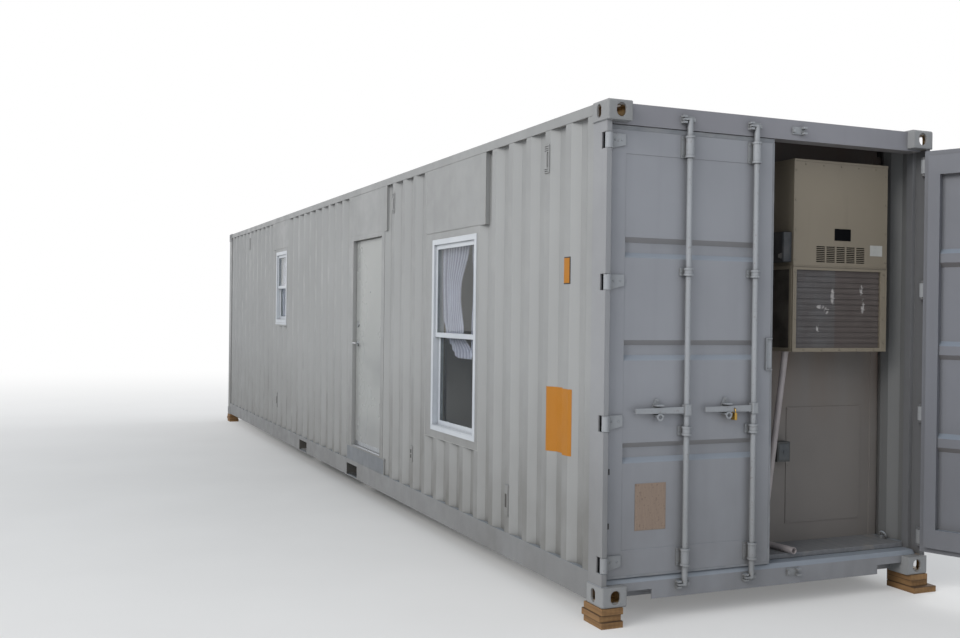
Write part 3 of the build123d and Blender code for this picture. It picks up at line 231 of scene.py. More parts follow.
def timber(name):
    """Weathered sawn softwood with grain along the boards and rings on their ends."""
    look = Look(name, Roughness=0.78)
    bent = look.node("ShaderNodeTexNoise", {"Vector": look.place, "Scale": 3.0, "Detail": 3.0})
    bend = {"Fac": 0.06, "Color1": look.place, "Color2": bent.outputs["Color"]}
    mixed = look.node("ShaderNodeMixRGB", bend)
    rings = look.node(
        "ShaderNodeTexWave",
        {"Vector": mixed.outputs[0], "Scale": 11.0, "Distortion": 2.5, "Detail": 2.0},
        wave_type="RINGS",
        rings_direction="X",
    )
    band = look.range(rings.outputs["Fac"], 0.15, 0.95, 0.3, 0.7)
    tone = look.mix(band, shade(141, 108, 69), shade(122, 90, 56))
    fibres = look.noise(60, (0.05, 0.12, 1), 0.4, 0.62, 4.0)
    tone = look.mix(look.math("MULTIPLY", fibres, 0.45), tone, shade(86, 58, 34))
    layer = look.noise(26, (0.3, 0.3, 1), 0.3, 0.7, 1.0)
    tone = look.mix(look.math("MULTIPLY", layer, 0.3), tone, shade(164, 130, 88))
    rise = look.axis("Z")
    for seam in BOARD_SEAMS:
        gap = {0: look.math("SUBTRACT", rise, seam)}
        off = look.node("ShaderNodeMath", gap, operation="ABSOLUTE")
        tone = look.mix(look.range(off.outputs[0], 0.001, 0.004, 0.8, 0.0), tone, shade(50, 34, 22))
    look.set("Base Color", tone)
    return look.relief((fibres, 0.0006), edge=0.002).material


def deck_paint(name):
    """Plywood under worn grey deck paint."""
    look = Look(name, Roughness=0.6)
    grain = look.noise(28, (0.06, 1, 1), 0.35, 0.65, 5.0)
    tone = look.mix(grain, shade(112, 113, 116), shade(122, 123, 125))
    scuff = look.noise(5, low=0.5, high=0.72, detail=6.0)
    tone = look.mix(look.math("MULTIPLY", scuff, 0.6), tone, shade(150, 142, 128))
    look.set("Base Color", tone)
    return look.relief((grain, 0.0005), edge=0.001).material


def wall_board(name, color):
    """Smooth board with a slight roller texture."""
    look = Look(name, Roughness=0.62)
    tone = look.mix(look.noise(1.4, detail=4.0), tinted(color, 0.93), tinted(color, 1.03))
    smudge = look.noise(5, low=0.55, high=0.75, detail=5.0)
    tone = look.mix(look.math("MULTIPLY", smudge, 0.3), tone, tinted(color, 0.76))
    look.set("Base Color", tone)
    return look.relief((look.noise(160, low=0.2, high=0.8), 0.0003), edge=0.001).material


def bulkhead_board(name, color):
    """Painted board with rusty drips below the air conditioner and shade above it."""
    look = Look(name, Roughness=0.62)
    tone = look.mix(look.noise(1.4, detail=4.0), tinted(color, 0.93), tinted(color, 1.03))
    low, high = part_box("air_conditioner")
    under = look.range(look.axis("Z"), low.z - 0.55, low.z, 0.0, 1.0)
    drips = look.noise(5, (1, 1, 0.16), 0.35, 0.7, 4.0)
    stain = look.math("MULTIPLY", look.math("MULTIPLY", under, drips), 0.5)
    tone = look.mix(stain, tone, shade(118, 92, 72))
    top = look.range(look.axis("Z"), high.z - 0.2, high.z + 0.05, 0.0, 0.6)
    tone = look.mix(top, tone, shade(58, 48, 46))
    look.set("Base Color", tone)
    return look.relief((look.noise(160, low=0.2, high=0.8), 0.0003), edge=0.001).material


def vinyl(name):
    """White extruded vinyl, with a little painted shade in its creases."""
    look = Look(name, Roughness=0.32)
    tone = look.mix(look.noise(2.0), shade(188, 193, 200), shade(200, 204, 209))
    # Painted shade in the creases that ambient occlusion finds.
    crease = look.node("ShaderNodeAmbientOcclusion", {"Distance": 0.03}, samples=6)
    dark = look.range(crease.outputs["AO"], 0.3, 0.9, 0.55, 0.0)
    tone = look.mix(dark, tone, shade(120, 122, 126))
    look.set("Base Color", tone)
    return look.relief((look.noise(40, (1, 1, 0.1)), 0.00008), edge=0.0018).material


def pane(name):
    """Clear glass with a trace of dust."""
    look = Look(name, Base_Color=shade(236, 242, 242), IOR=1.2, Transmission_Weight=1.0)
    film = look.noise(7, low=0.4, high=0.8, detail=5.0)
    look.set("Roughness", look.range(film, 0, 1, 0.0, 0.02))
    return look.relief((look.noise(3.0, low=0.2, high=0.8), 0.0002)).material


def cloth(name, color):
    """Thin woven curtain cloth, with painted shade in the hollows of its folds."""
    look = Look(name, Roughness=0.85, Sheen_Weight=0.25, Subsurface_Weight=0.15)
    look.shader.inputs["Subsurface Radius"].default_value = (0.004, 0.004, 0.004)
    warp = look.node("ShaderNodeTexWave", {"Vector": look.place, "Scale": 260.0}, bands_direction="X")
    weft = look.node("ShaderNodeTexWave", {"Vector": look.place, "Scale": 260.0}, bands_direction="Z")
    weave = look.math("MULTIPLY", warp.outputs["Fac"], weft.outputs["Fac"])
    tone = look.mix(look.noise(5), tinted(color, 0.9), tinted(color, 1.06))
    tone = look.mix(look.math("MULTIPLY", weave, 0.25), tone, tinted(color, 0.8))
    # Painted shade in the hollows of the folds, from the fold depth stored on the mesh.
    fold_shade = look.node("ShaderNodeAttribute", attribute_name="fold_shade").outputs["Fac"]
    tone = look.mix(look.range(fold_shade, 0.15, 0.6, 0.0, 0.7), tone, shade(100, 92, 110))
    look.set("Base Color", tone)
    return look.relief((weave, 0.0003)).material


def door_finish(name):
    """Semi-gloss pale grey door paint over flat sheet, with a haze at half height and dust below."""
    look = Look(name)
    base = shade(156, 158, 156)
    tone = look.mix(look.noise(0.8, detail=2.0), tinted(base, 0.98), tinted(base, 1.02))
    haze = look.noise(1.1, (1, 1, 1.6), 0.42, 0.62, 2.0)
    middle = look.range(look.axis("Z"), 1.25, 1.45, 0.5, 0.0)
    tone = look.mix(look.math("MULTIPLY", middle, haze), tone, shade(124, 125, 128))
    low = look.range(look.axis("Z"), 0.4, 1.4, 0.4, 0.0)
    dust = look.math("MULTIPLY", low, look.noise(2.0, low=0.1, high=0.8))
    tone = look.mix(dust, tone, shade(118, 116, 112))
    look.set("Base Color", tone)
    look.set("Roughness", look.range(look.noise(2), 0, 1, 0.26, 0.32))
    return look.relief((look.noise(0.9, low=0.2, high=0.8, detail=1.0), 0.001), edge=0.0015).material


def brushed(name, color, rough=0.3, under=1.0):
    """Bare metal with fine drawn lines. under paints a dark reflection of the ground on the faces that look down.
    """
    look = Look(name, Metallic=1.0)
    lines = look.noise(300, (1, 1, 0.05), 0.3, 0.7)
    tone = look.mix(lines, tinted(color, 0.88), tinted(color, 1.08))
    spots = look.noise(70, low=0.6, high=0.7)
    tone = look.mix(look.math("MULTIPLY", spots, 0.4), tone, tinted(color, 0.45))
    # Painted reflection of the dark ground on the faces that look down.
    if under < 1:
        below = look.range(look.facing("Z"), 0.1, -0.4)
        tone = look.mix(below, tone, tinted(color, under))
    look.set("Base Color", tone)
    look.set("Roughness", look.range(lines, 0, 1, rough, rough + 0.12))
    return look.relief((lines, 0.00004), edge=0.0006).material


def enamel(name, color):
    """Baked beige enamel with a fine peel, faint stains, and painted shade and dirt in its creases."""
    look = Look(name)
    tone = look.mix(look.noise(1.6, detail=4.0), tinted(color, 0.95), tinted(color, 1.04))
    stain = look.noise(10, (1, 1, 0.12), 0.56, 0.76, 4.0)
    tone = look.mix(look.math("MULTIPLY", stain, 0.25), tone, tinted(color, 0.66))
    # Painted shade with some dirt, in the creases that ambient occlusion finds.
    crease = look.node("ShaderNodeAmbientOcclusion", {"Distance": 0.04}, samples=6)
    dark = look.range(crease.outputs["AO"], 0.3, 0.85, 0.5, 0.0)
    tone = look.mix(dark, tone, shade(52, 46, 38))
    look.set("Base Color", tone)
    look.set("Roughness", look.range(look.noise(5), 0, 1, 0.36, 0.48))
    return look.relief((look.noise(210, low=0.2, high=0.8), 0.0001), edge=0.002).material


# Where the coil's fins are bent, as shares of its width and height, with half sizes
BENT_FINS = (
    (0.44, 0.67, 0.022, 0.12),
    (0.785, 0.76, 0.018, 0.08),
    (0.805, 0.55, 0.022, 0.11),
    (0.30, 0.53, 0.05, 0.03),
    (0.37, 0.48, 0.03, 0.05),
    (0.27, 0.26, 0.018, 0.06),
)


def coil(name):
    """Weathered fins in two banks, crossed by tube rows, with a few pale bent patches."""
    look = Look(name, Metallic=0.15, Roughness=0.7)
    fins = look.node("ShaderNodeTexWave", {"Vector": look.place, "Scale": 130.0}, bands_direction="Y")
    rows = look.node("ShaderNodeTexWave", {"Vector": look.place, "Scale": 12.5}, bands_direction="Z")
    fin = look.range(fins.outputs["Fac"], 0.1, 0.9)
    row = look.range(rows.outputs["Fac"], 0.3, 0.95)
    low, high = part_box("coil_grille")
    across = look.range(look.axis("Y"), low.y, high.y)
    up = look.range(look.axis("Z"), low.z, high.z)
    bank = look.range(across, 0.466, 0.474)
    tone = look.mix(bank, shade(114, 112, 113), shade(106, 98, 95))
    tone = look.mix(look.math("MULTIPLY", look.noise(9, detail=5.0), 0.35), tone, shade(90, 82, 78))
    tone = look.mix(look.math("MULTIPLY", fin, 0.22), tone, shade(64, 58, 56))
    tone = look.mix(look.math("MULTIPLY", row, 0.16), tone, shade(76, 70, 68))
    torn = look.noise(40, (1, 1, 0.5), 0.42, 0.5, 4.0)
    for across_at, up_at, wide, tall in BENT_FINS:
        aside = look.math("DIVIDE", look.math("SUBTRACT", across, across_at), wide)
        above = look.math("DIVIDE", look.math("SUBTRACT", up, up_at), tall)
        squares = [look.math("POWER", share, 2.0) for share in (aside, above)]
        spot = look.range(look.math("ADD", *squares), 0.4, 1.0, 1.0, 0.0)
        tone = look.mix(look.math("MULTIPLY", spot, torn), tone, shade(190, 186, 184))
    look.set("Base Color", tone)
    return look.relief((fin, 0.0006)).material


def moulded(name, color, rough=0.45):
    """Moulded plastic with a fine grain and dust."""
    look = Look(name)
    tone = look.mix(look.noise(12, detail=4.0), tinted(color, 0.88), tinted(color, 1.1))
    dust = look.math("MULTIPLY", look.noise(6, low=0.4, high=0.8, detail=5.0), 0.3)
    tone = look.mix(dust, tone, shade(140, 134, 124))
    look.set("Base Color", tone)
    look.set("Roughness", look.range(look.noise(20), 0, 1, rough, rough + 0.15))
    return look.relief((look.noise(420, low=0.2, high=0.8), 0.00006), edge=0.0008).material


WALL = shade(149, 150, 150)
CARGO = shade(150, 152, 158)
UNIT = shade(134, 125, 110)
looks = {
    "side_paint": paint("side_paint", WALL, dust=0.95, slopes=0.6),
    "door_end_paint": paint("door_end_paint", CARGO, dust=0.45),
    "frame_paint": casting_paint("frame_paint", shade(142, 143, 144)),
    "hardware_paint": paint("hardware_paint", shade(158, 161, 165), crease_dirt_and_shade=0.6, wear=0.25, edge=0.0012),
    "underframe_paint": paint("underframe_paint", shade(58, 58, 58), dust=0.8, rough=0.6),
    "timber": timber("timber"),
    "floor_board": deck_paint("floor_board"),
    "lining_board": wall_board("lining_board", shade(130, 114, 97)),
    "window_vinyl": vinyl("window_vinyl"),
    "window_pane": pane("window_pane"),
    "curtain_cloth": cloth("curtain_cloth", shade(178, 176, 194)),
    "door_paint": door_finish("door_paint"),
    "lock_metal": brushed("lock_metal", shade(206, 209, 213), 0.22, under=0.15),
    "unit_enamel": enamel("unit_enamel", UNIT),
    "coil_metal": coil("coil_metal"),
    "bulkhead_paint": bulkhead_board("bulkhead_paint", shade(126, 121, 117)),
    "dark_plastic": moulded("dark_plastic", shade(62, 66, 68)),
    "pipe_plastic": moulded("pipe_plastic", shade(176, 168, 168), 0.3),
    "padlock_brass": brushed("padlock_brass", shade(196, 158, 84), 0.25),
}
# A darker copy of the cargo end's paint for the open right leaf, as painted shade.
right_leaf_shaded_paint = paint("right_leaf_shaded_paint", shade(112, 114, 121), dust=0.3)
# A darker copy of the cargo end's paint for the header, as painted shade.
header_shaded_paint = paint("header_shaded_paint", shade(138, 138, 144), dust=0.4)
# The posts' paint, with painted shade on the far post's faces into the bay.
post_paint = paint("post_paint", shade(146, 147, 150), dust=0.6, inner=0.5)
# The side wall's paint, with painted shade on the back wall's faces into the bay.
back_paint = paint("back_paint", WALL, dust=0.95, inner=0.55, slopes=0.6)
# A darker copy of the side wall's paint on the bottom rails, for dirt and painted shade.
rail_dirt_and_shade_paint = paint("rail_dirt_and_shade_paint", shade(132, 133, 135), dust=0.45)
step_paint = paint("step_paint", shade(112, 117, 124), dust=0.4)
# A near-black grey on the switch box, darkened as painted shade.
switch_box_shaded_grey = moulded("switch_box_shaded_grey", shade(48, 52, 58), 0.5)
rubber = moulded("rubber_seal", shade(132, 135, 140), 0.6)
black_rubber = moulded("black_rubber", shade(34, 34, 36), 0.6)
black_gloss = brushed("black_gloss", shade(20, 21, 24), 0.5)
marker_yellow = paint("marker_yellow", shade(172, 110, 8), dust=0.1, crease_dirt_and_shade=0.1, rough=0.6, edge=0)
marker_black = paint("marker_black", shade(34, 33, 32), dust=0.2, crease_dirt_and_shade=0.2, rough=0.5, edge=0)
plate_metal = brushed("plate_metal", shade(150, 134, 122), 0.4)
caulk = moulded("caulk_bead", shade(164, 165, 164), 0.5)


OWN_LOOKS = {
    "right_leaf": right_leaf_shaded_paint,
    "door_end_header": header_shaded_paint,
    "door_end_posts": post_paint,
    "back_wall": back_paint,
    "bottom_side_rails": rail_dirt_and_shade_paint,
    "unit_switch_box": switch_box_shaded_grey,
}


def dress_nodes():
    slots = {part["node"]: part["material_slot"] for part in frame["record"]["subparts"]}
    for name, node in nodes.items():
        node.data.materials.clear()
        node.data.materials.append(OWN_LOOKS.get(name) or looks[slots[name]])


dress_nodes()


# Piece building

class Form:
    """The faces of one piece, built in the frame's metres from millimetre places."""

    def __init__(self):
        self.mesh = bmesh.new()

    def block(self, runs, steps, rises, bevel=0.0):
        corners = [at(run, step, rise) for rise in rises for step in steps for run in runs]
        verts = [self.mesh.verts.new(corner) for corner in corners]
        quads = ((0, 1, 3, 2), (4, 6, 7, 5), (0, 4, 5, 1), (2, 3, 7, 6), (0, 2, 6, 4), (1, 5, 7, 3))
        faces = [self.mesh.faces.new([verts[i] for i in quad]) for quad in quads]
        if bevel:
            edges = list({edge for face in faces for edge in face.edges})
            bmesh.ops.bevel(
                self.mesh, geom=edges, offset=bevel / 1000, segments=2, profile=0.5, affect="EDGES"
            )
        return self

    def tube(self, points, radius, sides=8, closed=False):
        """A tube through points in the frame, with flat or joined ends."""
        count = len(points)
        rings = []
        side = None
        for index, point in enumerate(points):
            before = points[index - 1] if index or closed else point
            after = points[(index + 1) % count] if index < count - 1 or closed else point
            way = (after - before).normalized()
            if side is None:
                side = way.orthogonal().normalized()
            side = (side - way * side.dot(way)).normalized()
            up = way.cross(side)
            ring = []
            for corner in range(sides):
                turn = 2 * math.pi * corner / sides
                off = side * math.cos(turn) + up * math.sin(turn)
                ring.append(self.mesh.verts.new(point + off * radius / 1000))
            rings.append(ring)
        pairs = list(zip(rings, rings[1:])) + ([(rings[-1], rings[0])] if closed else [])
        for first, second in pairs:
            for corner in range(sides):
                after = (corner + 1) % sides
                self.mesh.faces.new((first[corner], first[after], second[after], second[corner]))
        if not closed:
            self.mesh.faces.new(list(reversed(rings[0])))
            self.mesh.faces.new(rings[-1])
        return self

    def line(self, first, last, radius, sides=8):
        return self.tube([at(*first), at(*last)], radius, sides)

    def lathe(self, centre, way, profile, sides=16):
        """Turned about way, from (distance along way, radius) pairs in millimetres."""
        way = Vector(way).normalized()
        side = way.orthogonal().normalized()
        up = way.cross(side)
        rings = []
        for out, radius in profile:
            middle = centre + way * out / 1000
            ring = []
            for corner in range(sides):
                turn = 2 * math.pi * (corner + 0.5) / sides
                off = side * math.cos(turn) + up * math.sin(turn)
                ring.append(self.mesh.verts.new(middle + off * max(radius, 0.01) / 1000))
            rings.append(ring)
        for first, second in zip(rings, rings[1:]):
            for corner in range(sides):
                after = (corner + 1) % sides
                self.mesh.faces.new((first[corner], first[after], second[after], second[corner]))
        self.mesh.faces.new(list(reversed(rings[0])))
        self.mesh.faces.new(rings[-1])
        return self

    def bolt(self, place, way, radius, proud):
        """A hexagon head on a washer."""
        centre = at(*place)
        self.lathe(centre, way, ((0, radius * 1.45), (proud * 0.25, radius * 1.45)), 14)
        head = ((proud * 0.25, radius), (proud * 0.85, radius), (proud, radius * 0.8))
        return self.lathe(centre, way, head, 6)

    def rivet(self, place, way, radius, proud):
        profile = ((0, radius), (proud * 0.6, radius * 0.85), (proud, radius * 0.35))
        return self.lathe(at(*place), way, profile, 10)

    def skin(self, rows):
        """A surface through rows of points."""
        made = [[self.mesh.verts.new(point) for point in row] for row in rows]
        for first, second in zip(made, made[1:]):
            for index in range(len(first) - 1):
                self.mesh.faces.new(
                    (first[index], first[index + 1], second[index + 1], second[index])
                )
        return self

    def make(self, name, material, body="container", slot=None, smooth=False, matrix=None):
        bmesh.ops.recalc_face_normals(self.mesh, faces=self.mesh.faces)
        if matrix is not None:
            bmesh.ops.transform(self.mesh, matrix=matrix, verts=self.mesh.verts)
            if matrix.determinant() < 0:
                bmesh.ops.reverse_faces(self.mesh, faces=self.mesh.faces)
        data = bpy.data.meshes.new(name)
        self.mesh.to_mesh(data)
        self.mesh.free()
        data.materials.append(material)
        for face in data.polygons:
            face.use_smooth = smooth
        made = bpy.data.objects.new(name, data)
        bpy.context.scene.collection.objects.link(made)
        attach(made, body)
        return made


def on_both_leaves(name, build, material, slot):
    """The same piece on the closed left leaf and the open right leaf."""
    build().make(f"left_{name}", material, "left_leaf", slot)
    build().make(f"right_{name}", material, "right_leaf", slot, matrix=OPENED)


OUT = (1, 0, 0)
SIDE = (0, -1, 0)


# Cargo leaf details

LEAF_INS = (50, 1213)
LEAF_RISES = (151, 2760)
LEAF_FACE = 68
PANEL_FACE = 70
BARS = (577, 1058)
HANDLE_RISE = 1115
GUIDE_SPANS = ((196, 298), (965, 1018), (1905, 1951), (2599, 2727))
HINGE_RISES = [240 + (2665 - 240) * number / 3 for number in range(4)]


def leaf_gasket():
    """Rubber lips round the leaf, cut away at the hinge blades."""
    form = Form()
    runs = (LEAF_FACE - 2, LEAF_FACE + 5)
    low, high = LEAF_RISES
    near, free = LEAF_INS
    form.block(runs, (near, free), (high - 24, high + 2), 1.5)
    form.block(runs, (near, free), (low - 2, low + 12), 1.5)
    form.block(runs, (free - 12, free + 2), (low + 12, high - 24), 1.5)
    stops = [low + 12]
    for middle in HINGE_RISES:
        stops += [middle - 47, middle + 47]
    stops.append(high - 24)
    for bottom, top in zip(stops[0::2], stops[1::2]):
        form.block(runs, (near - 2, near + 12), (bottom, top), 1.5)
    return form


def leaf_bolts():
    """Bolts on the guide plates, hasps and latch box, and rivets on the hinge blades."""
    form = Form()
    for bar in BARS:
        for low, high in GUIDE_SPANS:
            rows = (low + 16, high - 16) if high - low > 80 else ((low + high) / 2,)
            for rise in rows:
                for step in (bar - 37, bar + 37):
                    form.bolt((60, step, rise), OUT, 5, 5)
        form.bolt((60, bar - 190, HANDLE_RISE + 54), OUT, 4.5, 4)
        for step in (bar - 208, bar - 172):
            form.bolt((60, step, HANDLE_RISE + 14), OUT, 3.5, 3)
    for middle in HINGE_RISES:
        for step in (84, 128):
            form.rivet((58, step, middle + 8), OUT, 6, 3)
    return form


def leaf_welds():
    """Beads along the seams between the leaf's rails and its pressed panel."""
    form = Form()
    low, high = LEAF_RISES
    near, free = LEAF_INS
    for rise in (low + 158, high - 160):
        form.line((LEAF_FACE + 2, near + 112, rise), (LEAF_FACE + 2, free - 112, rise), 1.6, 6)
    return form


def leaf_details():
    on_both_leaves("leaf_gasket", leaf_gasket, rubber, "dark_plastic")
    on_both_leaves("leaf_bolts", leaf_bolts, looks["hardware_paint"], "hardware_paint")
    on_both_leaves("leaf_welds", leaf_welds, looks["door_end_paint"], "door_end_paint")


def data_plate():
    """A bare riveted plate on the left leaf's lower panel."""
    steps, rises = (250, 460), (417, 690)
    form = Form()
    form.block((PANEL_FACE - 2, PANEL_FACE + 0.5), steps, rises, 0.6)
    for step in (steps[0] + 9, steps[1] - 9):
        for rise in (rises[0] + 9, (rises[0] + rises[1]) / 2, rises[1] - 9):
            form.rivet((PANEL_FACE - 2, step, rise), OUT, 3.5, 2)
    form.make("data_plate", plate_metal, "left_leaf", "lock_metal")


def leaf_edge_slots():
    """Two short dark slots in the closed leaf's hinge stile."""
    form = Form()
    for rise in (455, 768):
        form.block((LEAF_FACE - 0.8, LEAF_FACE + 2), (70, 79), (rise - 17, rise + 17))
    form.make("left_leaf_edge_slots", black_rubber, "left_leaf", "dark_plastic")


leaf_details()
data_plate()
leaf_edge_slots()


# Side wall markers, caulk and window details

def surface_of(*names):
    """A tree for finding the outer face of CAD nodes."""
    points, faces = [], []
    for name in names:
        data = nodes[name].data
        start = len(points)
        points += [vertex.co.copy() for vertex in data.vertices]
        faces += [[start + index for index in face.vertices] for face in data.polygons]
    return BVHTree.FromPolygons(points, faces)


front_surface = surface_of("front_wall", "near_window_panel", "far_window_panel", "door_panels")


# How far outside the wall the search for its face starts, how far it goes in metres, and the depth
# of the flat sheets, which is taken where nothing is met
SEARCH_START = 100
SEARCH_REACH = 0.4
FLAT_DEPTH = 10


def front_depth(run, rise):
    """How far in from the door side the wall's outer face is."""
    start = at(run, -SEARCH_START, rise)
    hit = front_surface.ray_cast(start, Vector((0, 1, 0)), SEARCH_REACH)[0]
    return FLAT_DEPTH if hit is None else (hit - start).y * 1000 - SEARCH_START


def wall_film(form, runs, rises, proud, thick, pitch=4):
    """A thin plate that follows the wall's corrugations."""
    count = math.ceil((runs[1] - runs[0]) / pitch)
    places = [runs[0] + (runs[1] - runs[0]) * index / count for index in range(count + 1)]
    depths = [front_depth(place, (rises[0] + rises[1]) / 2) - proud for place in places]
    outer = [at(place, depth, rises[0]) for place, depth in zip(places, depths)]
    outer_top = [at(place, depth, rises[1]) for place, depth in zip(places, depths)]
    inner = [at(place, depth + thick, rises[0]) for place, depth in zip(places, depths)]
    inner_top = [at(place, depth + thick, rises[1]) for place, depth in zip(places, depths)]
    return form.skin([outer, outer_top, inner_top, inner, outer])


# Runs and rises of the markers, with the thickness of their film
LOWER_MARKER = ((432, 750), (812, 1216))
UPPER_BORDER = ((450, 573), (1853, 2019))
UPPER_MARKER = ((457, 566), (1860, 2012))
FILM = 0.7
FILM_PROUD = 0.8


def markers():
    """Plain safety-yellow markers, one of them with a black border."""
    form = Form()
    wall_film(form, *LOWER_MARKER, FILM_PROUD, FILM)
    form.make("lower_marker", marker_yellow, "container", "hardware_paint")
    form = Form()
    wall_film(form, *UPPER_BORDER, FILM_PROUD, FILM)
    form.make("upper_marker_border", marker_black, "container", "hardware_paint")
    form = Form()
    wall_film(form, *UPPER_MARKER, FILM_PROUD + 0.5, FILM)
    form.make("upper_marker", marker_yellow, "container", "hardware_paint")


def bead_loop(form, runs, rises, step, radius=2.5):
    for rise in rises:
        form.line((runs[0], step, rise), (runs[1], step, rise), radius, 6)
    for run in runs:
        form.line((run, step, rises[0]), (run, step, rises[1]), radius, 6)


NEAR_PANEL = ((1850, 2964), (670, 2310))
NEAR_HEAD = ((1753, 2982), (2310, 2828))
FAR_PANEL = ((8020, 8710), (1480, 2474))
FAR_HEAD = ((7968, 8930), (2474, 2828))
DOOR_HEAD = ((4027, 5263), (2417, 2828))
DOOR_STEP = ((4040, 5250), (176, 323))
NEAR_WINDOW = ((1900, 2814), (730, 2254))
FAR_WINDOW = ((8060, 8670), (1520, 2434))


def panel_caulk():
    """Sealant round the flat sheets and the window frames."""
    form = Form()
    for runs, rises in (NEAR_PANEL, NEAR_HEAD, FAR_PANEL, FAR_HEAD, DOOR_HEAD, DOOR_STEP):
        bead_loop(form, runs, rises, 10.5)
    for runs, rises in (NEAR_WINDOW, FAR_WINDOW):
        bead_loop(form, (runs[0] - 2, runs[1] + 2), (rises[0] - 2, rises[1] + 2), 10, 3)
    form.make("panel_caulk", caulk, "container", "side_paint")


def window_trim(name, window):
    """Glazing beads, a meeting rail lock and weep slots."""
    runs, rises = window
    form = Form()
    low, high = rises[0] + 42, rises[1] - 42
    middle = (low + high) / 2
    glass_runs = (runs[0] + 76, runs[1] - 76)
    for bottom, top, step in ((middle + 17, high - 34, 22), (low + 34, middle - 17, 52)):
        for rise in (bottom, top):
            form.line((glass_runs[0], step + 3, rise), (glass_runs[1], step + 3, rise), 3.5, 8)
        for run in glass_runs:
            form.line((run, step + 3, bottom), (run, step + 3, top), 3.5, 8)
    centre = (runs[0] + runs[1]) / 2
    form.block((centre - 28, centre + 28), (80, 92), (middle + 2, middle + 14), 3)
    form.block((centre - 14, centre + 14), (84, 96), (middle + 8, middle + 20), 3)
    form.block((runs[0] + 1, runs[1] - 1), (1.5, 5), (rises[0] + 36, rises[0] + 40), 1)
    form.make(name, looks["window_vinyl"], "container", "window_vinyl")


markers()
panel_caulk()
window_trim("near_window_trim", NEAR_WINDOW)
window_trim("far_window_trim", FAR_WINDOW)


# Air conditioner and bulkhead details

UNIT_INS = (1482, 2253)
UNIT_RISES = (1448, 2680)
UNIT_FACE = 205
UNIT_SPLIT = 1998


# Runs of the frame round the coil in the unit's left side
SIDE_COIL = (216, 448)


def unit_trim():
    """A drip lip over the coil section, a top flange and the frame strips of the side coil."""
    form = Form()
    near, far = UNIT_INS
    low, high = UNIT_RISES
    front = UNIT_FACE
    form.block((front - 5, front + 1), (near - 1, far + 1), (UNIT_SPLIT - 4, UNIT_SPLIT + 2), 1)
    form.block((front - 3, front + 1), (near - 1, far + 1), (high - 14, high + 1), 1)
    form.block((front - 2, front + 1), (near - 1, near + 13), (low, UNIT_SPLIT - 4), 0.8)
    form.block((front - 2, front + 1), (far - 14, far + 1), (low, UNIT_SPLIT - 4), 0.8)
    for runs in ((SIDE_COIL[0], SIDE_COIL[0] + 24), (SIDE_COIL[1] - 24, SIDE_COIL[1])):
        form.block(runs, (near - 5, near + 1), (low + 6, UNIT_SPLIT), 1)
    for rises in ((low, low + 24), (UNIT_SPLIT - 22, UNIT_SPLIT + 2)):
        form.block(SIDE_COIL, (near - 6, near + 1), rises, 1)
    form.make("unit_trim", looks["unit_enamel"], "container", "unit_enamel")


def unit_side_coil():
    """Fins across the coil in the unit's left side."""
    form = Form()
    near = UNIT_INS[0]
    form.block((238, 426), (near - 1, near + 1), (UNIT_RISES[0] + 22, UNIT_SPLIT - 20))
    for number in range(34):
        rise = UNIT_RISES[0] + 34 + 14.6 * number
        form.block((240, 424), (near - 3, near - 0.8), (rise, rise + 3))
    form.make("unit_side_coil", side_coil_metal, "container", "coil_metal")


def unit_screws():
    form = Form()
    near, far = UNIT_INS
    low, high = UNIT_RISES
    lower, upper = range(low + 60, UNIT_SPLIT, 150), range(UNIT_SPLIT + 40, high, 190)
    edge_steps = range(near + 90, far - 60, 145)
    places = [(step, rise) for step in (near + 14, far - 25) for rise in lower]
    places += [(step, rise) for step in (near + 14, far - 14) for rise in upper]
    places += [(step, rise) for rise in (low + 12, high - 30) for step in edge_steps]
    for step, rise in places:
        form.bolt((UNIT_FACE - 1, step, rise), OUT, 4, 3.5)
    for rise in (low + 12, UNIT_SPLIT - 10):
        for run in (228, 330, 436):
            form.bolt((run, near - 5, rise), SIDE, 3.5, 3)
    form.make("unit_screws", looks["unit_enamel"], "container", "unit_enamel")


def unit_plates():
    """A bare black plate over the louvres, a small pale one beside them, and black blocks in their slots as
    painted shade.
    """
    form = Form()
    form.block((UNIT_FACE - 3, UNIT_FACE + 0.5), (1811, 1944), (2169, 2246), 2)
    form.make("unit_black_plate", black_gloss, "container", "dark_plastic")
    # Black blocks in the louvre slots, as painted shade.
    form = Form()
    for column in range(5):
        for row in range(9):
            step, rise = 1665 + 82 * column, 2026 + 12 * row
            form.block((212, 229), (step, step + 70), (rise, rise + 7))
    form.make("louvre_shadows", black_gloss, "container", "dark_plastic")
    form = Form()
    form.block((UNIT_FACE - 1, UNIT_FACE + 0.5), (2109, 2212), (2078, 2148), 0.5)
    form.make("unit_pale_plate", pale_plate, "container", "unit_enamel")


def switch_details():
    """A lid and a handle on the unit's switch box, and a lid on the bulkhead's box."""
    form = Form()
    form.block((230, 395), (1416, 1421), (2028, 2207), 2)
    form.block((225, 400), (1432, 1438), (2019, 2022.5), 1)
    form.make("switch_lid", switch_box_shaded_grey, "container", "hardware_paint")
    form = Form()
    form.block((236, 254), (1402, 1418), (2040, 2078), 3)
    form.block((240, 250), (1392, 1404), (2046, 2072), 3)
    form.make("switch_handle", black_rubber, "container", "dark_plastic")
    form = Form()
    form.block((375.5, 381), (1528, 1610), (732, 838), 2.5)
    form.block((372, 377), (1560, 1578), (774, 796), 2)
    form.make("disconnect_lid", box_grey, "container", "dark_plastic")


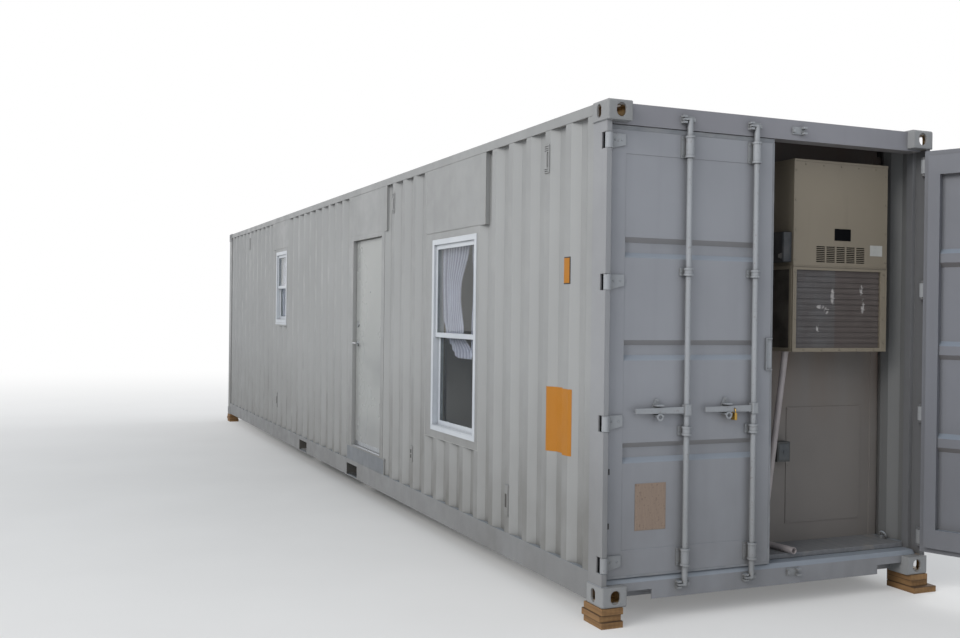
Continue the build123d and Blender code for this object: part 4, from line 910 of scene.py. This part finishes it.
def bulkhead_details():
    """Screws round the service panel and a strip that closes the bulkhead to the back wall."""
    form = Form()
    for step in (1656, 1850, 2060, 2254):
        for rise in (316, 1054):
            form.rivet((445, step, rise), OUT, 5, 2.5)
    for rise in (500, 685, 870):
        for step in (1656, 2254):
            form.rivet((445, step, rise), OUT, 5, 2.5)
    form.make("panel_screws", looks["bulkhead_paint"], "container", "bulkhead_paint")
    form = Form()
    form.block((444, 456), (2352, 2418), (160, 2780), 1.5)
    form.make("bulkhead_edge_strip", looks["bulkhead_paint"], "container", "bulkhead_paint")


side_coil_metal = moulded("side_coil_metal", shade(62, 58, 54), 0.6)
pale_plate = moulded("pale_plate", shade(176, 176, 172), 0.5)
box_grey = moulded("box_grey", shade(72, 78, 84), 0.5)
unit_trim()
unit_side_coil()
unit_screws()
unit_plates()
switch_details()
bulkhead_details()


# Door, outlet and frame details

def door_details():
    """A sweep and a peep hole on the door leaf, and a ridged threshold under it."""
    form = Form()
    form.block((4168, 5076), (43, 46.5), (344, 384), 0.8)
    form.lathe(at(4622, 46.5, 1865), SIDE, ((0, 9), (2.5, 9), (3.5, 6), (2.4, 4)), 16)
    form.make("door_sweep", looks["lock_metal"], "door_leaf", "lock_metal")
    form = Form()
    form.block((4162, 5082), (14, 44), (334.5, 337), 0.5)
    for step in (18, 25, 32, 39):
        form.block((4162, 5082), (step, step + 3), (336.5, 338.5), 0.5)
    form.make("door_threshold", looks["lock_metal"], "container", "lock_metal")


def door_step_face():
    """A darker face laid over the step panel under the door."""
    form = Form()
    wall_film(form, (4046, 5244), (182, 318), FILM_PROUD, FILM, 600)
    form.make("door_step_face", step_paint, "container", "side_paint")


def outlet_faces():
    """Two oval outlet faces on the box by the door, and a slot on the others."""
    form = Form()
    for rise in (452, 494):
        form.block((3259, 3285), (0.3, 1.5), (rise - 15, rise + 15), 0.5)
    for run, rise in ((1326, 399), (8554, 509)):
        form.block((run - 14, run + 14), (0.3, 1.5), (rise - 46, rise + 46), 0.5)
    form.make("outlet_faces", black_rubber, "container", "dark_plastic")


def far_window_flashing():
    """The pale strip under the far window."""
    form = Form()
    form.block((8046, 8684), (3, 10.5), (1494, 1518), 1.5)
    form.make("far_window_flashing", looks["window_vinyl"], "container", "window_vinyl")


# Runs from casting to casting along a side rail
RAIL_RUNS = (178, 12014)


def frame_welds():
    """Beads where the cargo end's posts meet the castings and along the side rails."""
    form = Form()
    width = WIDTH
    for step, inner in ((8, 50), (width - 8, width - 50)):
        for rise in (118, 2778):
            form.line((20, step, rise), (176, step, rise), 3, 6)
            form.line((20, step, rise), (20, inner, rise), 3, 6)
    form.make("cargo_end_welds", looks["door_end_paint"], "container", "door_end_paint")
    form = Form()
    for rise in (177, 2827):
        for step in (9.5, width - 9.5):
            form.line((RAIL_RUNS[0], step, rise), (RAIL_RUNS[1], step, rise), 2, 6)
    form.make("side_rail_welds", looks["side_paint"], "container", "side_paint")


door_details()
door_step_face()
outlet_faces()
far_window_flashing()
frame_welds()


# Curtains

def smooth_step(low, high, value):
    part = min(max((value - low) / (high - low), 0), 1)
    return part * part * (3 - 2 * part)


def hanging(name, outline, folds, depth, centre, columns=220, rows=72):
    """A gathered curtain. outline(u, v) gives (run, rise) and centre(u, v) how far in it hangs."""
    form = Form()
    grid, waves = [], []
    for row in range(rows + 1):
        v = row / rows
        line = []
        for column in range(columns + 1):
            u = column / columns
            run, rise = outline(u, v)
            drift = 0.5 * noise.noise(Vector((u * 3.1, v * 1.3, folds)))
            turn = 2 * math.pi * folds * (u + 0.05 * drift)
            wave = math.sin(turn) + 0.3 * math.sin(2 * turn + 1.1 + 2 * v)
            line.append(at(run, centre(u, v) + depth * wave / 1.3, rise))
            waves.append((wave + 1.3) / 2.6)
        grid.append(line)
    form.skin(grid)
    made = form.make(name, looks["curtain_cloth"], "container", "curtain_cloth", smooth=True)
    # The fold depth stored here marks the hollows that the cloth's material darkens as painted shade.
    made.data.attributes.new("fold_shade", "FLOAT", "POINT").data.foreach_set("value", waves)
    return made


# Millimetres in to the middle of the hanging cloth
HANGING_IN = 92


def near_curtains():
    top = 2188

    def outline(u, v):
        foot = 1470 - 150 * smooth_step(0.05, 0.5, u)
        left = 2752 - 40 * smooth_step(0.1, 0.9, v)
        right = 2235 + 165 * smooth_step(0.0, 0.4, v) - 70 * smooth_step(0.45, 0.78, v)
        right -= 175 * smooth_step(0.78, 0.95, v)
        return left + (right - left) * u, top + (foot - top) * v

    def centre(u, v):
        rise = outline(u, v)[1]
        near_jamb = 1 - smooth_step(0.0, 0.22, u)
        above_rail = smooth_step(1520, 1640, rise)
        return HANGING_IN - 24 * near_jamb * above_rail

    main = hanging("near_curtain_cloth", outline, 9, 10, centre, 320)
    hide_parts("near_curtain")

    def tail_outline(u, v):
        left = 2175 - 25 * smooth_step(0.0, 0.3, v) + 30 * smooth_step(0.4, 0.8, v)
        return left + (2085 - left) * u, top + (1335 + 25 * u - top) * v

    tail = hanging("near_curtain_tail", tail_outline, 3, 9, lambda u, v: HANGING_IN, 80)


def far_curtains():
    top = 2368

    def outline(u, v):
        left = 8612
        right = 8120 + 110 * smooth_step(0.0, 0.9, v)
        return left + (right - left) * u, top + (1590 + 20 * u - top) * v

    main = hanging("far_curtain_cloth", outline, 12, 8, lambda u, v: HANGING_IN, 200)
    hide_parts("far_curtain")


near_curtains()
far_curtains()


# Floor, light and camera

# Metres from the middle to the floor's edge, and the metres over which it fades to white
FLOOR_HALF_SIZE = 90
FADE = (1.0, 22.0)


def floor_and_backdrop():
    """A pale floor that fades to white far from the container."""
    size = FLOOR_HALF_SIZE
    data = bpy.data.meshes.new("studio_floor")
    corners = [(-size, -size, 0), (size, -size, 0), (size, size, 0), (-size, size, 0)]
    data.from_pydata(corners, [], [(0, 1, 2, 3)])
    floor = bpy.data.objects.new("studio_floor", data)
    bpy.context.scene.collection.objects.link(floor)
    look = Look("studio_floor", Roughness=0.85)
    look.set("Base Color", look.mix(look.noise(0.6), shade(226, 226, 225), shade(230, 230, 229)))
    white = look.node("ShaderNodeEmission", {"Color": (1, 1, 1, 1), "Strength": 1.0})
    flat = look.node("ShaderNodeVectorMath", {0: look.place, 1: (1, 1, 0)}, operation="MULTIPLY")
    away = look.node("ShaderNodeVectorMath", {0: flat.outputs[0]}, operation="LENGTH")
    ease = look.node(
        "ShaderNodeMapRange",
        {"Value": away.outputs["Value"], 1: FADE[0], 2: FADE[1]},
        interpolation_type="SMOOTHSTEP",
    )
    fade = look.math("POWER", ease.outputs[0], 0.7)
    seen = look.node("ShaderNodeLightPath").outputs["Is Camera Ray"]
    both = look.node(
        "ShaderNodeMixShader",
        {0: look.math("MULTIPLY", fade, seen), 1: look.shader.outputs[0], 2: white.outputs[0]},
    )
    look.tree.links.new(both.outputs[0], look.tree.nodes["Material Output"].inputs["Surface"])
    data.materials.append(look.material)


def world_light():
    """Even studio light, with white behind the object for the camera, metal and glass."""
    world = bpy.data.worlds.new("studio")
    bpy.context.scene.world = world
    world.use_nodes = True
    tree = world.node_tree
    fill = tree.nodes["Background"]
    fill.inputs["Color"].default_value = (0.86, 0.92, 1.0, 1)
    fill.inputs["Strength"].default_value = 0.46
    white = tree.nodes.new("ShaderNodeBackground")
    white.inputs["Color"].default_value = (1, 1, 1, 1)
    white.inputs["Strength"].default_value = 1.0
    path = tree.nodes.new("ShaderNodeLightPath")
    seen = path.outputs["Is Camera Ray"]
    for kind in ("Is Glossy Ray", "Is Transmission Ray"):
        either = tree.nodes.new("ShaderNodeMath")
        either.operation = "MAXIMUM"
        tree.links.new(seen, either.inputs[0])
        tree.links.new(path.outputs[kind], either.inputs[1])
        seen = either.outputs[0]
    mix = tree.nodes.new("ShaderNodeMixShader")
    tree.links.new(seen, mix.inputs[0])
    tree.links.new(fill.outputs[0], mix.inputs[1])
    tree.links.new(white.outputs[0], mix.inputs[2])
    tree.links.new(mix.outputs[0], tree.nodes["World Output"].inputs["Surface"])


def lamp(name, place, target, size, power, color):
    data = bpy.data.lights.new(name, "AREA")
    data.shape = "RECTANGLE"
    data.size, data.size_y = size
    data.energy = power
    data.color = color
    made = bpy.data.objects.new(name, data)
    made.location = place
    made.rotation_euler = (Vector(target) - Vector(place)).to_track_quat("-Z", "Y").to_euler()
    bpy.context.scene.collection.objects.link(made)


def lamps():
    lamp("key", (13, -28, 18), (0, 0, 1.2), (22, 14), 6400, (1.0, 0.985, 0.96))
    lamp("end", (19, -3, 9), (5, 0, 1.4), (7, 6), 190, (0.95, 0.975, 1.0))
    lamp("back", (-4, 16, 12), (0, 1, 1), (12, 8), 1500, (1, 1, 1))


# The view's sensor and lens in millimetres, its place in metres, and its yaw, pitch and roll in degrees
SENSOR = 36
LENS = 39.85
VIEW_PLACE = (10.799, -4.437, 1.782)
VIEW_ANGLES = (66.92, -0.295, 0.70)


def camera():
    """The photograph's view, from a little left of the cargo end."""
    data = bpy.data.cameras.new("view")
    data.sensor_width = SENSOR
    data.lens = LENS
    data.clip_end = 300
    made = bpy.data.objects.new("view", data)
    bpy.context.scene.collection.objects.link(made)
    bpy.context.scene.camera = made
    yaw, pitch, roll = (math.radians(angle) for angle in VIEW_ANGLES)
    level = math.cos(pitch)
    ahead = Vector((-math.sin(yaw) * level, math.cos(yaw) * level, math.sin(pitch)))
    right = Vector((math.cos(yaw), math.sin(yaw), 0))
    up = right.cross(ahead)
    across = right * math.cos(roll) + up * math.sin(roll)
    above = up * math.cos(roll) - right * math.sin(roll)
    turned = Matrix((across, above, -ahead)).transposed().to_4x4()
    made.matrix_world = Matrix.Translation(VIEW_PLACE) @ turned


floor_and_backdrop()
world_light()
lamps()
camera()
bpy.context.scene.view_settings.view_transform = "Standard"
